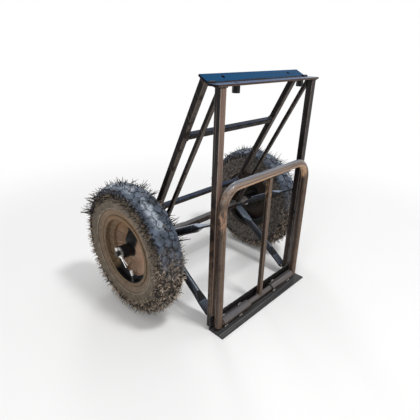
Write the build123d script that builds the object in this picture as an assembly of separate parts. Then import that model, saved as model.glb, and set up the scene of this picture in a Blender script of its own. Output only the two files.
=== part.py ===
"""Folding hand truck: a square-tube frame on two pneumatic wheels, shown folded for storage.

Sizes are in millimetres. +X runs along the axle to the right, -Y is the front where the nose
folds down, and +Z is up. The origin lies on the floor in the middle of the footprint.
"""

import os
from math import acos, atan2, cos, degrees, hypot, radians, sin

from build123d import *

# Lower frame
frame_width = 415.0
upright_side = 20.0
tube_wall = 2.0
tube_corner_radius = 2.5
front_y = -200.0
top_height = 684.0
plate_thickness = 5.0
plate_overhang = 10.0
toe_overhang = 10.0
toe_depth = 54.0
toe_height = 45.0
toe_thickness = 4.0

# Bolts that lock the unfolded frame
bolt_inset = 67.5
bolt_hole_radius = 5.5
bolt_from_hinge = 22.0
nut_across_flats = 17.0
nut_height = 18.0
nut_bore_radius = 4.3

# Fold hinge
hinge_from_front = 36.0
plate_reach = 38.0
plate_edge_gap = 0.6
plate_face_gap = 0.3
knuckle_radius = 4.8
knuckle_length = 8.0
knuckle_gap = 0.5
hinge_pin_radius = 2.8
hinge_pin_head_radius = 4.4
hinge_pin_head_height = 3.0
running_clearance = 0.05

# Upper frame
rail_side = 18.0
rail_inset = 4.0
rail_length = 580.0
rung_side = 16.0
upper_rung_at = 170.0
lower_rung_at = 440.0
cap_thickness = 3.0
cap_plug_depth = 15.0
cap_plug_clearance = 0.2

# Axle
axle_y = 54.0
wheel_radius = 200.0
axle_height = wheel_radius
beam_side = 20.0
beam_wall = 1.9
spindle_radius = 8.0
spindle_in_beam = 117.5
spindle_beyond_hub = 14.5
spindle_chamfer = 1.5
sleeve_radius = 13.0
washer_radius = 16.0
washer_thickness = 2.5
side_play = 0.5
split_pin_radius = 2.0
split_pin_clearance = 0.1
split_pin_turn = 214.8
split_pin_tail = 40.0
split_pin_spread = 10.0
split_pin_eye_radius = 4.5

# Struts and braces
stay_inset = 17.5
strut_side = 12.0
strut_wall = 1.5
strut_from_top = 14.0
strut_foot_ahead = 3.0
brace_diameter = 25.0
brace_wall = 2.0
brace_flat_width = 34.0
brace_flat_thickness = 5.0
brace_flat_length = 46.0
brace_taper_length = 30.0
brace_corner_radius = 12.0
brace_corner_margin = 1.0
brace_rear_offset = 5.0
middle_brace_front = 332.0
lower_brace_front = 33.0
rest_stub_side = 14.0
rest_stub_length = 28.73
rest_gap = 0.4

# Nose
nose_tube_diameter = 24.0
nose_tube_wall = 2.0
nose_bend_radius = 58.0
nose_height = 420.0
nose_rest_gap = 0.6
nose_leg_tail = 5.0
nose_bar_side = 14.0
nose_bar_wall = 1.5
nose_rod_radius = 9.0
nose_sleeve_radius = 14.0
nose_sleeve_length = 123.0
nose_sleeve_gap = 2.5

# Wheels
wheel_from_frame = 83.0
rim_sheet = 2.5
rim_well_radius = 88.0
rim_well_half_width = 12.0
rim_ramp_width = 5.5
rim_half_width = 30.5
rim_lip_radius = 111.0
rim_curl_width = 3.5
rim_curl_height = 4.0
bead_radius = 101.5
bead_width = 12.0
tyre_half_width = 42.0
tyre_lip_gap = 3.0
tyre_bulge_depth = 53.0
sidewall_thickness = 7.0
crown_thickness = 15.0
shoulder_half_width = 34.0
shoulder_drop = 12.0
cavity_low_half_width = 21.0
cavity_low_rise = 7.0
cavity_high_half_width = 27.0
cavity_high_depth = 25.0
cavity_bulge_depth = 55.0
tread_depth = 7.0
tread_slot_width = 4.0
tread_slot_count = 28
tread_slot_angle = 45.0
tread_diamond_half_width = 22.0
shoulder_slot_length = 16.0
shoulder_slot_width = 6.0
shoulder_slot_depth = 16.0
hub_radius = 20.0
hub_bore_radius = 15.0
hub_length = 90.0
bearing_radius = 17.0
bearing_width = 12.0
bearing_shield_depth = 1.0
disc_sheet = 2.5
disc_boss_x = 8.0
disc_boss_radius = 31.0
disc_dish_x = -5.0
disc_dish_inner_radius = 50.0
disc_dish_outer_radius = 62.0
disc_flange_start = 3.0
disc_flange_width = 8.0
valve_turn = 252.8
valve_offset = 25.0
valve_base_radius = 6.0
valve_base_height = 6.0
valve_stem_radius = 4.0
valve_stem_start = 5.0
valve_stem_length = 24.0
valve_cap_radius = 4.8
valve_cap_length = 9.0
valve_length = 35.5

# Positions that follow from the sizes above
half_width = frame_width / 2
upright_center_x = half_width - upright_side / 2
stay_center_x = half_width - stay_inset
back_y = front_y + upright_side
upright_top = top_height - plate_thickness
strut_top = top_height - strut_from_top
hinge_y = front_y + hinge_from_front
hinge_z = top_height + plate_face_gap / 2
hinge_axis = Axis((0, hinge_y, hinge_z), (1, 0, 0))
bolt_x = half_width - bolt_inset
outer_knuckle_end = half_width
inner_knuckle_end = outer_knuckle_end - knuckle_length - knuckle_gap
knuckle_start = inner_knuckle_end - knuckle_length
nose_y = front_y - toe_thickness - nose_sleeve_radius
nose_z = toe_thickness + nose_sleeve_radius
nose_axis = Axis((0, nose_y, nose_z), (1, 0, 0))
nose_lean = degrees(atan2(front_y - nose_y - nose_tube_diameter / 2 - nose_rest_gap, nose_height))
nose_sleeve_outer_end = upright_center_x - nose_tube_diameter / 2 - nose_sleeve_gap
nose_sleeve_inner_end = nose_sleeve_outer_end - nose_sleeve_length
wheel_center_x = half_width + wheel_from_frame
hub_inner_x = wheel_center_x - hub_length / 2
hub_outer_x = wheel_center_x + hub_length / 2
beam_front_y = axle_y - beam_side / 2
beam_back_y = axle_y + beam_side / 2
beam_top = axle_height + beam_side / 2
middle_brace_rear = axle_height + brace_rear_offset
lower_brace_rear = axle_height - brace_rear_offset

# Fold angle at which the rails come to lie on the ends of the rest stubs
rail_face = hinge_from_front - upright_side / 2 - rail_side / 2 - rest_gap
stub_end_y = beam_back_y + rest_stub_length
stub_distance = hypot(stub_end_y - hinge_y, hinge_z - axle_height)
stub_slope = atan2(hinge_z - axle_height, stub_end_y - hinge_y)
fold_tilt = degrees(acos(rail_face / stub_distance) - stub_slope)
unfold_swing = 180.0 - fold_tilt


def span(x_range, y_range, z_range):
    """Return the box between the given low and high values."""
    sizes = [high - low for low, high in (x_range, y_range, z_range)]
    middle = [(high + low) / 2 for low, high in (x_range, y_range, z_range)]
    return Pos(*middle) * Box(*sizes)


def rod_along_x(radius, x_range, y, z):
    """Return a round bar along X at the given height and depth."""
    length = x_range[1] - x_range[0]
    middle = (x_range[0] + x_range[1]) / 2
    return Pos(middle, y, z) * Rot(0, 90, 0) * Cylinder(radius, length)


def rounded_square(side, inset):
    """Return the cross-section of a square tube with every side moved in by the inset."""
    inner_side = side - 2 * inset
    return RectangleRounded(inner_side, inner_side, tube_corner_radius - inset)


def square_tube(side, wall, length):
    """Return a hollow square tube along Z with rounded corners, centred on the origin."""
    ring = rounded_square(side, 0) - rounded_square(side, wall)
    return extrude(ring, length / 2, both=True)


def save_pair(name, right_piece):
    """Write a right-hand piece and its mirror image on the left."""
    export_step(right_piece, f"parts/right_{name}.step")
    export_step(mirror(right_piece, about=Plane.YZ), f"parts/left_{name}.step")


def sheet_section(center_line, thickness):
    """Return the face of a bent sheet that follows a centre line of (x, radius) points."""
    count = len(center_line)
    normals = []
    for (x0, r0), (x1, r1) in zip(center_line, center_line[1:]):
        run = hypot(x1 - x0, r1 - r0)
        normals.append(((r0 - r1) / run, (x1 - x0) / run))
    near = []
    far = []
    for index in range(count):
        before = normals[max(index - 1, 0)]
        after = normals[min(index, count - 2)]
        mitre = 1 + before[0] * after[0] + before[1] * after[1]
        shift_x = (before[0] + after[0]) / mitre * thickness / 2
        shift_r = (before[1] + after[1]) / mitre * thickness / 2
        x, r = center_line[index]
        near.append((x + shift_x, r + shift_r))
        far.append((x - shift_x, r - shift_r))
    outline = Polyline(*near, *reversed(far), close=True)
    return make_face(outline)


def spin(section):
    """Turn an (x, radius) section about the X axis."""
    return revolve(section, Axis.X)


def hinged_plate(length, seat_start):
    """Return a flat bar below the hinge plane, notched at its ends for the knuckles.

    The hinge axis is the X axis and the bar reaches towards -Y. A tab meets the knuckle that is
    welded to this bar.
    """
    low = -plate_thickness - plate_face_gap / 2
    high = -plate_face_gap / 2
    notch = knuckle_radius + knuckle_gap
    notch_start = knuckle_start - hinge_pin_radius
    bar = span((-length / 2, length / 2), (-plate_reach, -plate_edge_gap), (low, high))
    for side in (-1, 1):
        notch_x = sorted((side * notch_start, side * length))
        bar -= span(notch_x, (-notch, 1), (low - 1, high + 1))
        tab_x = sorted((side * seat_start, side * (seat_start + knuckle_length)))
        bar += span(tab_x, (-notch - 1, 0), (low, high))
        bar -= rod_along_x(knuckle_radius, tab_x, 0, 0)
        bar -= Pos(side * bolt_x, -bolt_from_hinge, 0) * Cylinder(bolt_hole_radius, 4 * plate_thickness)
    return bar


def knuckle(start):
    """Return a hinge barrel on the hinge axis, beginning at the given X."""
    x_range = (start, start + knuckle_length)
    barrel = rod_along_x(knuckle_radius, x_range, hinge_y, hinge_z)
    bore_range = (start - 1, start + knuckle_length + 1)
    return barrel - rod_along_x(hinge_pin_radius + running_clearance, bore_range, hinge_y, hinge_z)


def folded(piece):
    """Swing a piece of the upper frame from upright to folded."""
    return piece.rotate(hinge_axis, -unfold_swing)


def leaned(piece):
    """Lean a piece of the nose back towards the uprights."""
    return piece.rotate(nose_axis, -nose_lean)


# Uprights, plate, nuts and toe
upright = Pos(upright_center_x, front_y + upright_side / 2, upright_top / 2) * square_tube(
    upright_side, tube_wall, upright_top
)
top_plate = Pos(0, hinge_y, hinge_z) * hinged_plate(frame_width + 2 * plate_overhang, knuckle_start)
nut_outline = RegularPolygon(nut_across_flats / 2, 6, major_radius=False)
nut = extrude(nut_outline - Circle(nut_bore_radius), nut_height)
weld_nut = Pos(bolt_x, hinge_y - bolt_from_hinge, upright_top - nut_height) * nut
toe_outline = Polyline(
    (front_y, 0),
    (front_y, toe_height),
    (front_y - toe_thickness, toe_height),
    (front_y - toe_thickness, toe_thickness),
    (front_y - toe_depth, toe_thickness),
    (front_y - toe_depth, 0),
    close=True,
)
toe_angle = extrude(Plane.YZ * make_face(toe_outline), half_width + toe_overhang, both=True)

# Diagonal struts from the uprights to the axle beam
strut_foot_y = axle_y - strut_foot_ahead
strut_run = strut_foot_y - back_y
strut_drop = strut_top - beam_top
strut_turn = degrees(atan2(strut_run, strut_drop))
strut_middle = ((back_y + strut_foot_y) / 2, (strut_top + beam_top) / 2)
long_strut = square_tube(strut_side, strut_wall, hypot(strut_run, strut_drop) + 8 * strut_side)
strut = Pos(stay_center_x, *strut_middle) * Rot(strut_turn, 0, 0) * long_strut
strut &= span((0, frame_width), (back_y, axle_y + frame_width), (beam_top, upright_top))

# Axle beam, spindles and what holds the wheels on
axle_beam = Pos(0, axle_y, axle_height) * Rot(0, 90, 0) * square_tube(beam_side, beam_wall, frame_width)
washer_inner_x = hub_outer_x + side_play
split_pin_x = washer_inner_x + washer_thickness + split_pin_radius + side_play
split_pin_frame = Pos(split_pin_x, axle_y, axle_height) * Rot(split_pin_turn, 0, 0)
spindle_range = (half_width - spindle_in_beam, hub_outer_x + spindle_beyond_hub)
spindle = rod_along_x(spindle_radius, spindle_range, axle_y, axle_height)
spindle = chamfer(spindle.edges().sort_by(Axis.X)[-1], spindle_chamfer)
pin_hole = Rot(90, 0, 0) * Cylinder(split_pin_radius + split_pin_clearance, 4 * spindle_radius)
spindle -= split_pin_frame * pin_hole
sleeve_range = (half_width, hub_inner_x - side_play)
axle_sleeve = rod_along_x(sleeve_radius, sleeve_range, axle_y, axle_height)
axle_sleeve -= rod_along_x(spindle_radius + running_clearance, (0, frame_width), axle_y, axle_height)
washer_range = (washer_inner_x, washer_inner_x + washer_thickness)
washer = rod_along_x(washer_radius, washer_range, axle_y, axle_height)
washer -= rod_along_x(spindle_radius + running_clearance, (0, frame_width), axle_y, axle_height)

# Split pin: an eye, a shank through the spindle and two spread tails, drawn along +Y
shank_end = spindle_radius + split_pin_radius
eye_y = -shank_end - split_pin_eye_radius
shank = Pos(0, (shank_end + eye_y + split_pin_eye_radius) / 2, 0) * Rot(90, 0, 0) * Cylinder(
    split_pin_radius, 2 * shank_end
)
eye = Pos(0, eye_y, 0) * Rot(0, 90, 0) * Torus(split_pin_eye_radius, split_pin_radius * 0.8)
split_pin = shank + eye
for side in (-1, 1):
    tail = Pos(0, split_pin_tail / 2, 0) * Rot(90, 0, 0) * Cylinder(split_pin_radius * 0.7, split_pin_tail)
    tail_root = Pos(0, shank_end - split_pin_radius, side * split_pin_radius * 0.25)
    split_pin += tail_root * Rot(side * split_pin_spread, 0, 0) * tail
split_pin = split_pin_frame * split_pin


def flattened_tube(front_z, rear_z, inset):
    """Return a brace from an upright's back to the axle beam, hammered flat at both ends.

    The inset takes the wall off every side, so the same shape also cuts the hollow.
    """
    run = beam_front_y - back_y
    rise = rear_z - front_z
    straight = hypot(run, rise)
    overrun = brace_diameter
    round_length = straight - 2 * (brace_flat_length + brace_taper_length)
    flat_size = (brace_flat_width - 2 * inset, brace_flat_thickness - 2 * inset)
    flat = RectangleRounded(*flat_size, flat_size[1] * 0.48)
    round_size = brace_diameter - 2 * inset
    ring = RectangleRounded(round_size, round_size, round_size * 0.495)
    taper_start = round_length / 2
    taper_end = taper_start + brace_taper_length
    tube = extrude(ring, taper_start, both=True)
    for turn in (0, 180):
        taper = loft([Pos(0, 0, taper_start) * ring, Pos(0, 0, taper_end) * flat])
        tongue = extrude(Pos(0, 0, taper_end) * flat, brace_flat_length + overrun)
        tube += Rot(turn, 0, 0) * taper
        tube += Rot(turn, 0, 0) * tongue
    middle = Pos(stay_center_x, (back_y + beam_front_y) / 2, (front_z + rear_z) / 2)
    return middle * Rot(-degrees(atan2(run, rise)), 0, 0) * tube


def brace(front_z, rear_z):
    """Return a hollow brace whose round-cornered flat ends meet the upright and the axle beam."""
    hollow = flattened_tube(front_z, rear_z, 0) - flattened_tube(front_z, rear_z, brace_wall)
    width = brace_flat_width + 2 * brace_corner_margin
    outline = RectangleRounded(width, beam_front_y - back_y, brace_corner_radius)
    return hollow & Pos(stay_center_x, (back_y + beam_front_y) / 2, 0) * extrude(outline, top_height)


middle_brace = brace(middle_brace_front, middle_brace_rear)
lower_brace = brace(lower_brace_front, lower_brace_rear)

# Fold hinge
frame_knuckle = knuckle(knuckle_start)
fold_knuckle = folded(knuckle(inner_knuckle_end + knuckle_gap))
pin_range = (knuckle_start - 1, outer_knuckle_end + knuckle_gap)
head_range = (pin_range[1], pin_range[1] + hinge_pin_head_height)
hinge_pin = rod_along_x(hinge_pin_radius, pin_range, hinge_y, hinge_z)
hinge_pin += rod_along_x(hinge_pin_head_radius, head_range, hinge_y, hinge_z)

# Upper frame, drawn upright and then folded
fold_plate_shape = mirror(hinged_plate(frame_width, inner_knuckle_end + knuckle_gap), about=Plane.XY)
fold_plate = folded(Pos(0, hinge_y, hinge_z) * fold_plate_shape)
rail_foot = hinge_z + plate_face_gap / 2 + plate_thickness
rail_y = front_y + upright_side / 2
rail_x = half_width - rail_inset - rail_side / 2
rail_tube = square_tube(rail_side, tube_wall, rail_length)
rail = folded(Pos(rail_x, rail_y, rail_foot + rail_length / 2) * rail_tube)
rung_length = 2 * rail_x - rail_side
rung_bar = Rot(0, 90, 0) * square_tube(rung_side, tube_wall, rung_length)
upper_rung = folded(Pos(0, rail_y, hinge_z + upper_rung_at) * rung_bar)
lower_rung = folded(Pos(0, rail_y, hinge_z + lower_rung_at) * rung_bar)
rail_end = rail_foot + rail_length
cap_head = extrude(rounded_square(rail_side, 0), cap_thickness)
cap_head = fillet(cap_head.faces().sort_by(Axis.Z)[-1].edges(), cap_thickness * 0.6)
cap_plug = extrude(rounded_square(rail_side, tube_wall + cap_plug_clearance), -cap_plug_depth)
rail_cap = folded(Pos(rail_x, rail_y, rail_end) * (cap_head + cap_plug))

# Rest stub behind the axle beam, cut to the slope of the folded rail
stub_low = axle_height - rest_stub_side / 2
stub_high = axle_height + rest_stub_side / 2


def rest_line_y(z):
    """Return the depth of the folded rail's lower face at a height, less the rest gap."""
    along = (hinge_z + rail_face * sin(radians(fold_tilt)) - z) / cos(radians(fold_tilt))
    return hinge_y + rail_face * cos(radians(fold_tilt)) + along * sin(radians(fold_tilt))


stub_outline = Polyline(
    (beam_back_y, stub_low),
    (rest_line_y(stub_low), stub_low),
    (rest_line_y(stub_high), stub_high),
    (beam_back_y, stub_high),
    close=True,
)
stub_block = extrude(Plane.YZ * make_face(stub_outline), rest_stub_side / 2, both=True)
rest_stub = Pos(rail_x, 0, 0) * stub_block

# Nose: a bent tube loop on a rod that turns in two sleeves
leg_top = nose_height - nose_bend_radius
shoulder_x = upright_center_x - nose_bend_radius
bend_step = nose_bend_radius * (1 - cos(radians(45)))
left_leg = Line((-upright_center_x, 0, -nose_leg_tail), (-upright_center_x, 0, leg_top))
left_bend = ThreePointArc(
    left_leg @ 1,
    (-upright_center_x + bend_step, 0, nose_height - bend_step),
    (-shoulder_x, 0, nose_height),
)
cross_bar = Line(left_bend @ 1, (shoulder_x, 0, nose_height))
right_bend = ThreePointArc(
    cross_bar @ 1,
    (upright_center_x - bend_step, 0, nose_height - bend_step),
    (upright_center_x, 0, leg_top),
)
right_leg = Line(right_bend @ 1, (upright_center_x, 0, -nose_leg_tail))
loop_path = Wire([left_leg, left_bend, cross_bar, right_bend, right_leg])
loop_start = Plane(origin=left_leg @ 0, z_dir=(0, 0, 1))
loop_outside = sweep(loop_start * Circle(nose_tube_diameter / 2), path=loop_path)
loop_inside = sweep(loop_start * Circle(nose_tube_diameter / 2 - nose_tube_wall), path=loop_path)
nose_place = Pos(0, nose_y, nose_z)
nose_loop = leaned(nose_place * (loop_outside - loop_inside))
rod_reach = upright_center_x - nose_tube_diameter / 2 + tube_wall
rod_shape = rod_along_x(nose_rod_radius, (-rod_reach, rod_reach), 0, 0) - loop_outside
nose_rod = leaned(nose_place * rod_shape)
bar_shape = Pos(0, 0, nose_height / 2) * square_tube(nose_bar_side, nose_bar_wall, nose_height)
bar_shape -= loop_outside
bar_shape -= rod_along_x(nose_rod_radius, (-nose_bar_side, nose_bar_side), 0, 0)
nose_bar = leaned(nose_place * bar_shape.solids().sort_by(SortBy.VOLUME)[-1])
sleeve_x = (nose_sleeve_inner_end, nose_sleeve_outer_end)
nose_sleeve = rod_along_x(nose_sleeve_radius, sleeve_x, nose_y, nose_z)
nose_sleeve -= rod_along_x(nose_rod_radius + running_clearance, (0, frame_width), nose_y, nose_z)

# Wheel, drawn about the X axis with +X outboard
rim_seat = bead_radius - rim_sheet / 2
rim_well = rim_well_radius - rim_sheet / 2
rim_flange_x = rim_half_width + rim_sheet / 2
rim_half = [
    (rim_well_half_width, rim_well),
    (rim_well_half_width + rim_ramp_width, rim_seat),
    (rim_flange_x, rim_seat),
    (rim_flange_x, rim_lip_radius - rim_curl_height),
    (rim_flange_x + rim_curl_width, rim_lip_radius),
]
rim_line = [(-x, r) for x, r in reversed(rim_half)] + rim_half
rim = spin(sheet_section(rim_line, rim_sheet))

disc_flange_radius = rim_well_radius - rim_sheet - disc_sheet / 2
disc_line = [
    (disc_boss_x, hub_radius),
    (disc_boss_x, disc_boss_radius),
    (disc_dish_x, disc_dish_inner_radius),
    (disc_dish_x, disc_dish_outer_radius),
    (disc_flange_start, disc_flange_radius),
    (disc_flange_start + disc_flange_width, disc_flange_radius),
]
disc_ring = spin(sheet_section(disc_line, disc_sheet))
disc = disc_ring - rod_along_x(hub_radius, (-hub_length, hub_length), 0, 0)

hub_half = hub_length / 2
seat_x = hub_half - bearing_width
hub_outline = Polyline(
    (-hub_half, bearing_radius),
    (-hub_half, hub_radius),
    (hub_half, hub_radius),
    (hub_half, bearing_radius),
    (seat_x, bearing_radius),
    (seat_x, hub_bore_radius),
    (-seat_x, hub_bore_radius),
    (-seat_x, bearing_radius),
    close=True,
)
hub = spin(make_face(hub_outline))

bearing_bore = spindle_radius + running_clearance
race = (bearing_radius - bearing_bore) / 3
bearing_half = bearing_width / 2
shield_x = bearing_half - bearing_shield_depth
bearing_outline = Polyline(
    (-bearing_half, bearing_bore),
    (-bearing_half, bearing_bore + race),
    (-shield_x, bearing_bore + race),
    (-shield_x, bearing_radius - race),
    (-bearing_half, bearing_radius - race),
    (-bearing_half, bearing_radius),
    (bearing_half, bearing_radius),
    (bearing_half, bearing_radius - race),
    (shield_x, bearing_radius - race),
    (shield_x, bearing_bore + race),
    (bearing_half, bearing_bore + race),
    (bearing_half, bearing_bore),
    close=True,
)
bearing = spin(make_face(bearing_outline))
bearing_x = hub_half - bearing_half

# Tyre section: bead, bulging sidewall, shoulder and crown, with the air space inside
shoulder = (shoulder_half_width, wheel_radius - shoulder_drop)
bulge = (tyre_half_width, wheel_radius - tyre_bulge_depth)
bead_heel = (rim_half_width, bead_radius)
bead_toe = (rim_half_width - bead_width, bead_radius)
lip_clear = (rim_half_width, rim_lip_radius + tyre_lip_gap)
cavity_low = (cavity_low_half_width, bead_radius + cavity_low_rise)
cavity_bulge = (tyre_half_width - sidewall_thickness, wheel_radius - cavity_bulge_depth)
cavity_high = (cavity_high_half_width, wheel_radius - cavity_high_depth)
cavity_crown = (0, wheel_radius - crown_thickness)


def left_of(point):
    """Return the point mirrored to the other side of the wheel."""
    return (-point[0], point[1])


tyre_edges = [
    Line(bead_toe, bead_heel),
    Line(bead_heel, lip_clear),
    ThreePointArc(lip_clear, bulge, shoulder),
    ThreePointArc(shoulder, (0, wheel_radius), left_of(shoulder)),
    ThreePointArc(left_of(shoulder), left_of(bulge), left_of(lip_clear)),
    Line(left_of(lip_clear), left_of(bead_heel)),
    Line(left_of(bead_heel), left_of(bead_toe)),
    Line(left_of(bead_toe), left_of(cavity_low)),
    ThreePointArc(left_of(cavity_low), left_of(cavity_bulge), left_of(cavity_high)),
    ThreePointArc(left_of(cavity_high), cavity_crown, cavity_high),
    ThreePointArc(cavity_high, cavity_bulge, cavity_low),
    Line(cavity_low, bead_toe),
]
tyre = spin(make_face(Wire(tyre_edges)))
slot_length = 2 * tread_diamond_half_width / cos(radians(tread_slot_angle))
slot_box = Box(slot_length, tread_slot_width, 2 * tread_depth)
shoulder_box = Box(shoulder_slot_length, shoulder_slot_width, 2 * shoulder_slot_depth)
tread_pitch = 360.0 / tread_slot_count
slots = []
for step in range(tread_slot_count):
    around = Rot(tread_pitch * step, 0, 0)
    for lean in (-tread_slot_angle, tread_slot_angle):
        slots.append(around * Pos(0, 0, wheel_radius) * Rot(0, 0, lean) * slot_box)
    for side in (-1, 1):
        slots.append(around * Pos(side * shoulder_half_width, 0, wheel_radius) * shoulder_box)
tyre = tyre - slots

# Valve on the outboard ledge of the rim, pointing at the axle
ledge = bead_radius - rim_sheet
valve_stem_middle = ledge - valve_stem_start - valve_stem_length / 2
valve_cap_middle = ledge - valve_length + valve_cap_length / 2
valve = Pos(0, 0, ledge - valve_base_height / 2) * Cylinder(valve_base_radius, valve_base_height)
valve &= Rot(0, 90, 0) * Cylinder(ledge, 4 * valve_base_radius)
valve += Pos(0, 0, valve_stem_middle) * Cylinder(valve_stem_radius, valve_stem_length)
valve += Pos(0, 0, valve_cap_middle) * Cylinder(valve_cap_radius, valve_cap_length)
valve = Rot(valve_turn - 90.0, 0, 0) * Pos(valve_offset, 0, 0) * valve

wheel_place = Pos(wheel_center_x, axle_y, axle_height)

os.makedirs("parts", exist_ok=True)

single_pieces = {
    "top_plate": top_plate,
    "toe_angle": toe_angle,
    "axle_beam": axle_beam,
    "fold_plate": fold_plate,
    "upper_rung": upper_rung,
    "lower_rung": lower_rung,
    "nose_loop": nose_loop,
    "nose_bar": nose_bar,
    "nose_rod": nose_rod,
}
for name, piece in single_pieces.items():
    export_step(piece, f"parts/{name}.step")

right_hand_pieces = {
    "upright": upright,
    "weld_nut": weld_nut,
    "strut": strut,
    "spindle": spindle,
    "axle_sleeve": axle_sleeve,
    "washer": washer,
    "split_pin": split_pin,
    "middle_brace": middle_brace,
    "lower_brace": lower_brace,
    "frame_knuckle": frame_knuckle,
    "hinge_pin": hinge_pin,
    "rest_stub": rest_stub,
    "nose_sleeve": nose_sleeve,
    "rail": rail,
    "fold_knuckle": fold_knuckle,
    "rail_cap": rail_cap,
    "tyre": wheel_place * tyre,
    "rim": wheel_place * rim,
    "disc": wheel_place * disc,
    "hub": wheel_place * hub,
    "outer_bearing": wheel_place * Pos(bearing_x, 0, 0) * bearing,
    "inner_bearing": wheel_place * Pos(-bearing_x, 0, 0) * bearing,
    "valve": wheel_place * valve,
}
for name, piece in right_hand_pieces.items():
    save_pair(name, piece)
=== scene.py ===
"""Looks and studio for the folding hand truck.

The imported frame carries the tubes, plates, hinges and wheels. This script adds the block tread, the
moulding hairs of the rubber, the weld beads and the finishes, and sets up the studio and the camera.
Every length is in metres in the frame's own axes: +X to the truck's right, -Y to its front, +Z up.
"""

from __future__ import annotations

import logging
import math
import random
from abc import ABC, abstractmethod
from dataclasses import dataclass, field
from enum import Enum
from typing import Any, Iterable, NamedTuple, Sequence

import bmesh
import bpy
from mathutils import Matrix, Vector

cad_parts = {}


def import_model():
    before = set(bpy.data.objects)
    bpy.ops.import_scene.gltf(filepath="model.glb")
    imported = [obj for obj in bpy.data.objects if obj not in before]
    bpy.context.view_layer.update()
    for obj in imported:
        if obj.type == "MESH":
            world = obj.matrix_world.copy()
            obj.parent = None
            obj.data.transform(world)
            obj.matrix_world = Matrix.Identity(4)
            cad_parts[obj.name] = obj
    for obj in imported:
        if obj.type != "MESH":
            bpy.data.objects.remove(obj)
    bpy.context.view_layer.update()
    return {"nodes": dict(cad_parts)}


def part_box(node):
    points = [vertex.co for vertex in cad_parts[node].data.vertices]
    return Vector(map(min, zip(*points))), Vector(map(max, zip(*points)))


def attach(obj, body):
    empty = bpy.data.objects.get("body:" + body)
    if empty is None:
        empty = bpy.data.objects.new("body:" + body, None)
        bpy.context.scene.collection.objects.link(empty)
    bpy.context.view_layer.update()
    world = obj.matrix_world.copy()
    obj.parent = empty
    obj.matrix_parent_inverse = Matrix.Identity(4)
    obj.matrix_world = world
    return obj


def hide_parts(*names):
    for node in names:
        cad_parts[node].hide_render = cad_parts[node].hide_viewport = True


LOG = logging.getLogger("hand_truck")

Rgb = tuple[float, float, float]
Point = tuple[float, float, float]
Profile = list[tuple[float, float]]
Nodes = dict[str, bpy.types.Object]
Socket = bpy.types.NodeSocket

MILLIMETRE = 0.001
WELD_DISTANCE = 0.01 * MILLIMETRE
FULL_TURN = 2.0 * math.pi
ORIGIN: Point = (0.0, 0.0, 0.0)
X_AXIS, Y_AXIS, Z_AXIS = Vector((1, 0, 0)), Vector((0, 1, 0)), Vector((0, 0, 1))
WHITE: Rgb = (1.0, 1.0, 1.0)

# The depth of the fold hinge, and the lean of the folded frame and the struts in degrees
HINGE_Y = -0.164
FOLD_LEAN = 26.2


class Side(Enum):
    """The two sides of the truck, with the sign of X on each."""

    LEFT = -1
    RIGHT = 1

    @property
    def label(self) -> str:
        """Return the side's name as the nodes spell it."""
        return self.name.lower()


class Body(Enum):
    """The bodies that pieces ride on."""

    LOWER_FRAME = "lower_frame"
    UPPER_FRAME = "upper_frame"
    NOSE = "nose"
    LEFT_WHEEL = "left_wheel"
    RIGHT_WHEEL = "right_wheel"


class Slot(Enum):
    """The record's material slots, kept on the weld runs."""

    FRAME = "frame_enamel"
    STEEL = "bare_steel"
    TYRE = "tyre_rubber"
    WHEEL = "wheel_enamel"


class Brace(Enum):
    """The two braces of a side."""

    MIDDLE = "middle_brace"
    LOWER = "lower_brace"


class Grain(Enum):
    """The way that brush marks run, as a stretch of the coordinates along each axis."""

    UPRIGHT = (1.0, 1.0, 0.018)
    LEVEL = (0.018, 1.0, 1.0)


class Span(NamedTuple):
    """The two ends of a range."""

    low: float
    high: float


class Step(NamedTuple):
    """A step from 0 at its start to 1 at its full value, falling where the start is the larger."""

    start: float
    full: float


class Grit(NamedTuple):
    """A noise: features per metre, octaves and the weight of the finer octaves."""

    scale: float
    detail: float = 4.0
    weight: float = 0.55


class Polish(NamedTuple):
    """How a surface shines: its roughness limits, its clear coat and its specular level."""

    smooth: float
    rough: float
    coat: float = 0.0
    coat_rough: float = 0.03
    level: float = 0.5


class Relief(NamedTuple):
    """Fine relief: its depth in metres and its strength."""

    depth: float
    strength: float


NOISE_RANGE = Span(0.3, 0.7)
NOISE_MIDDLE = 0.5


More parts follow.
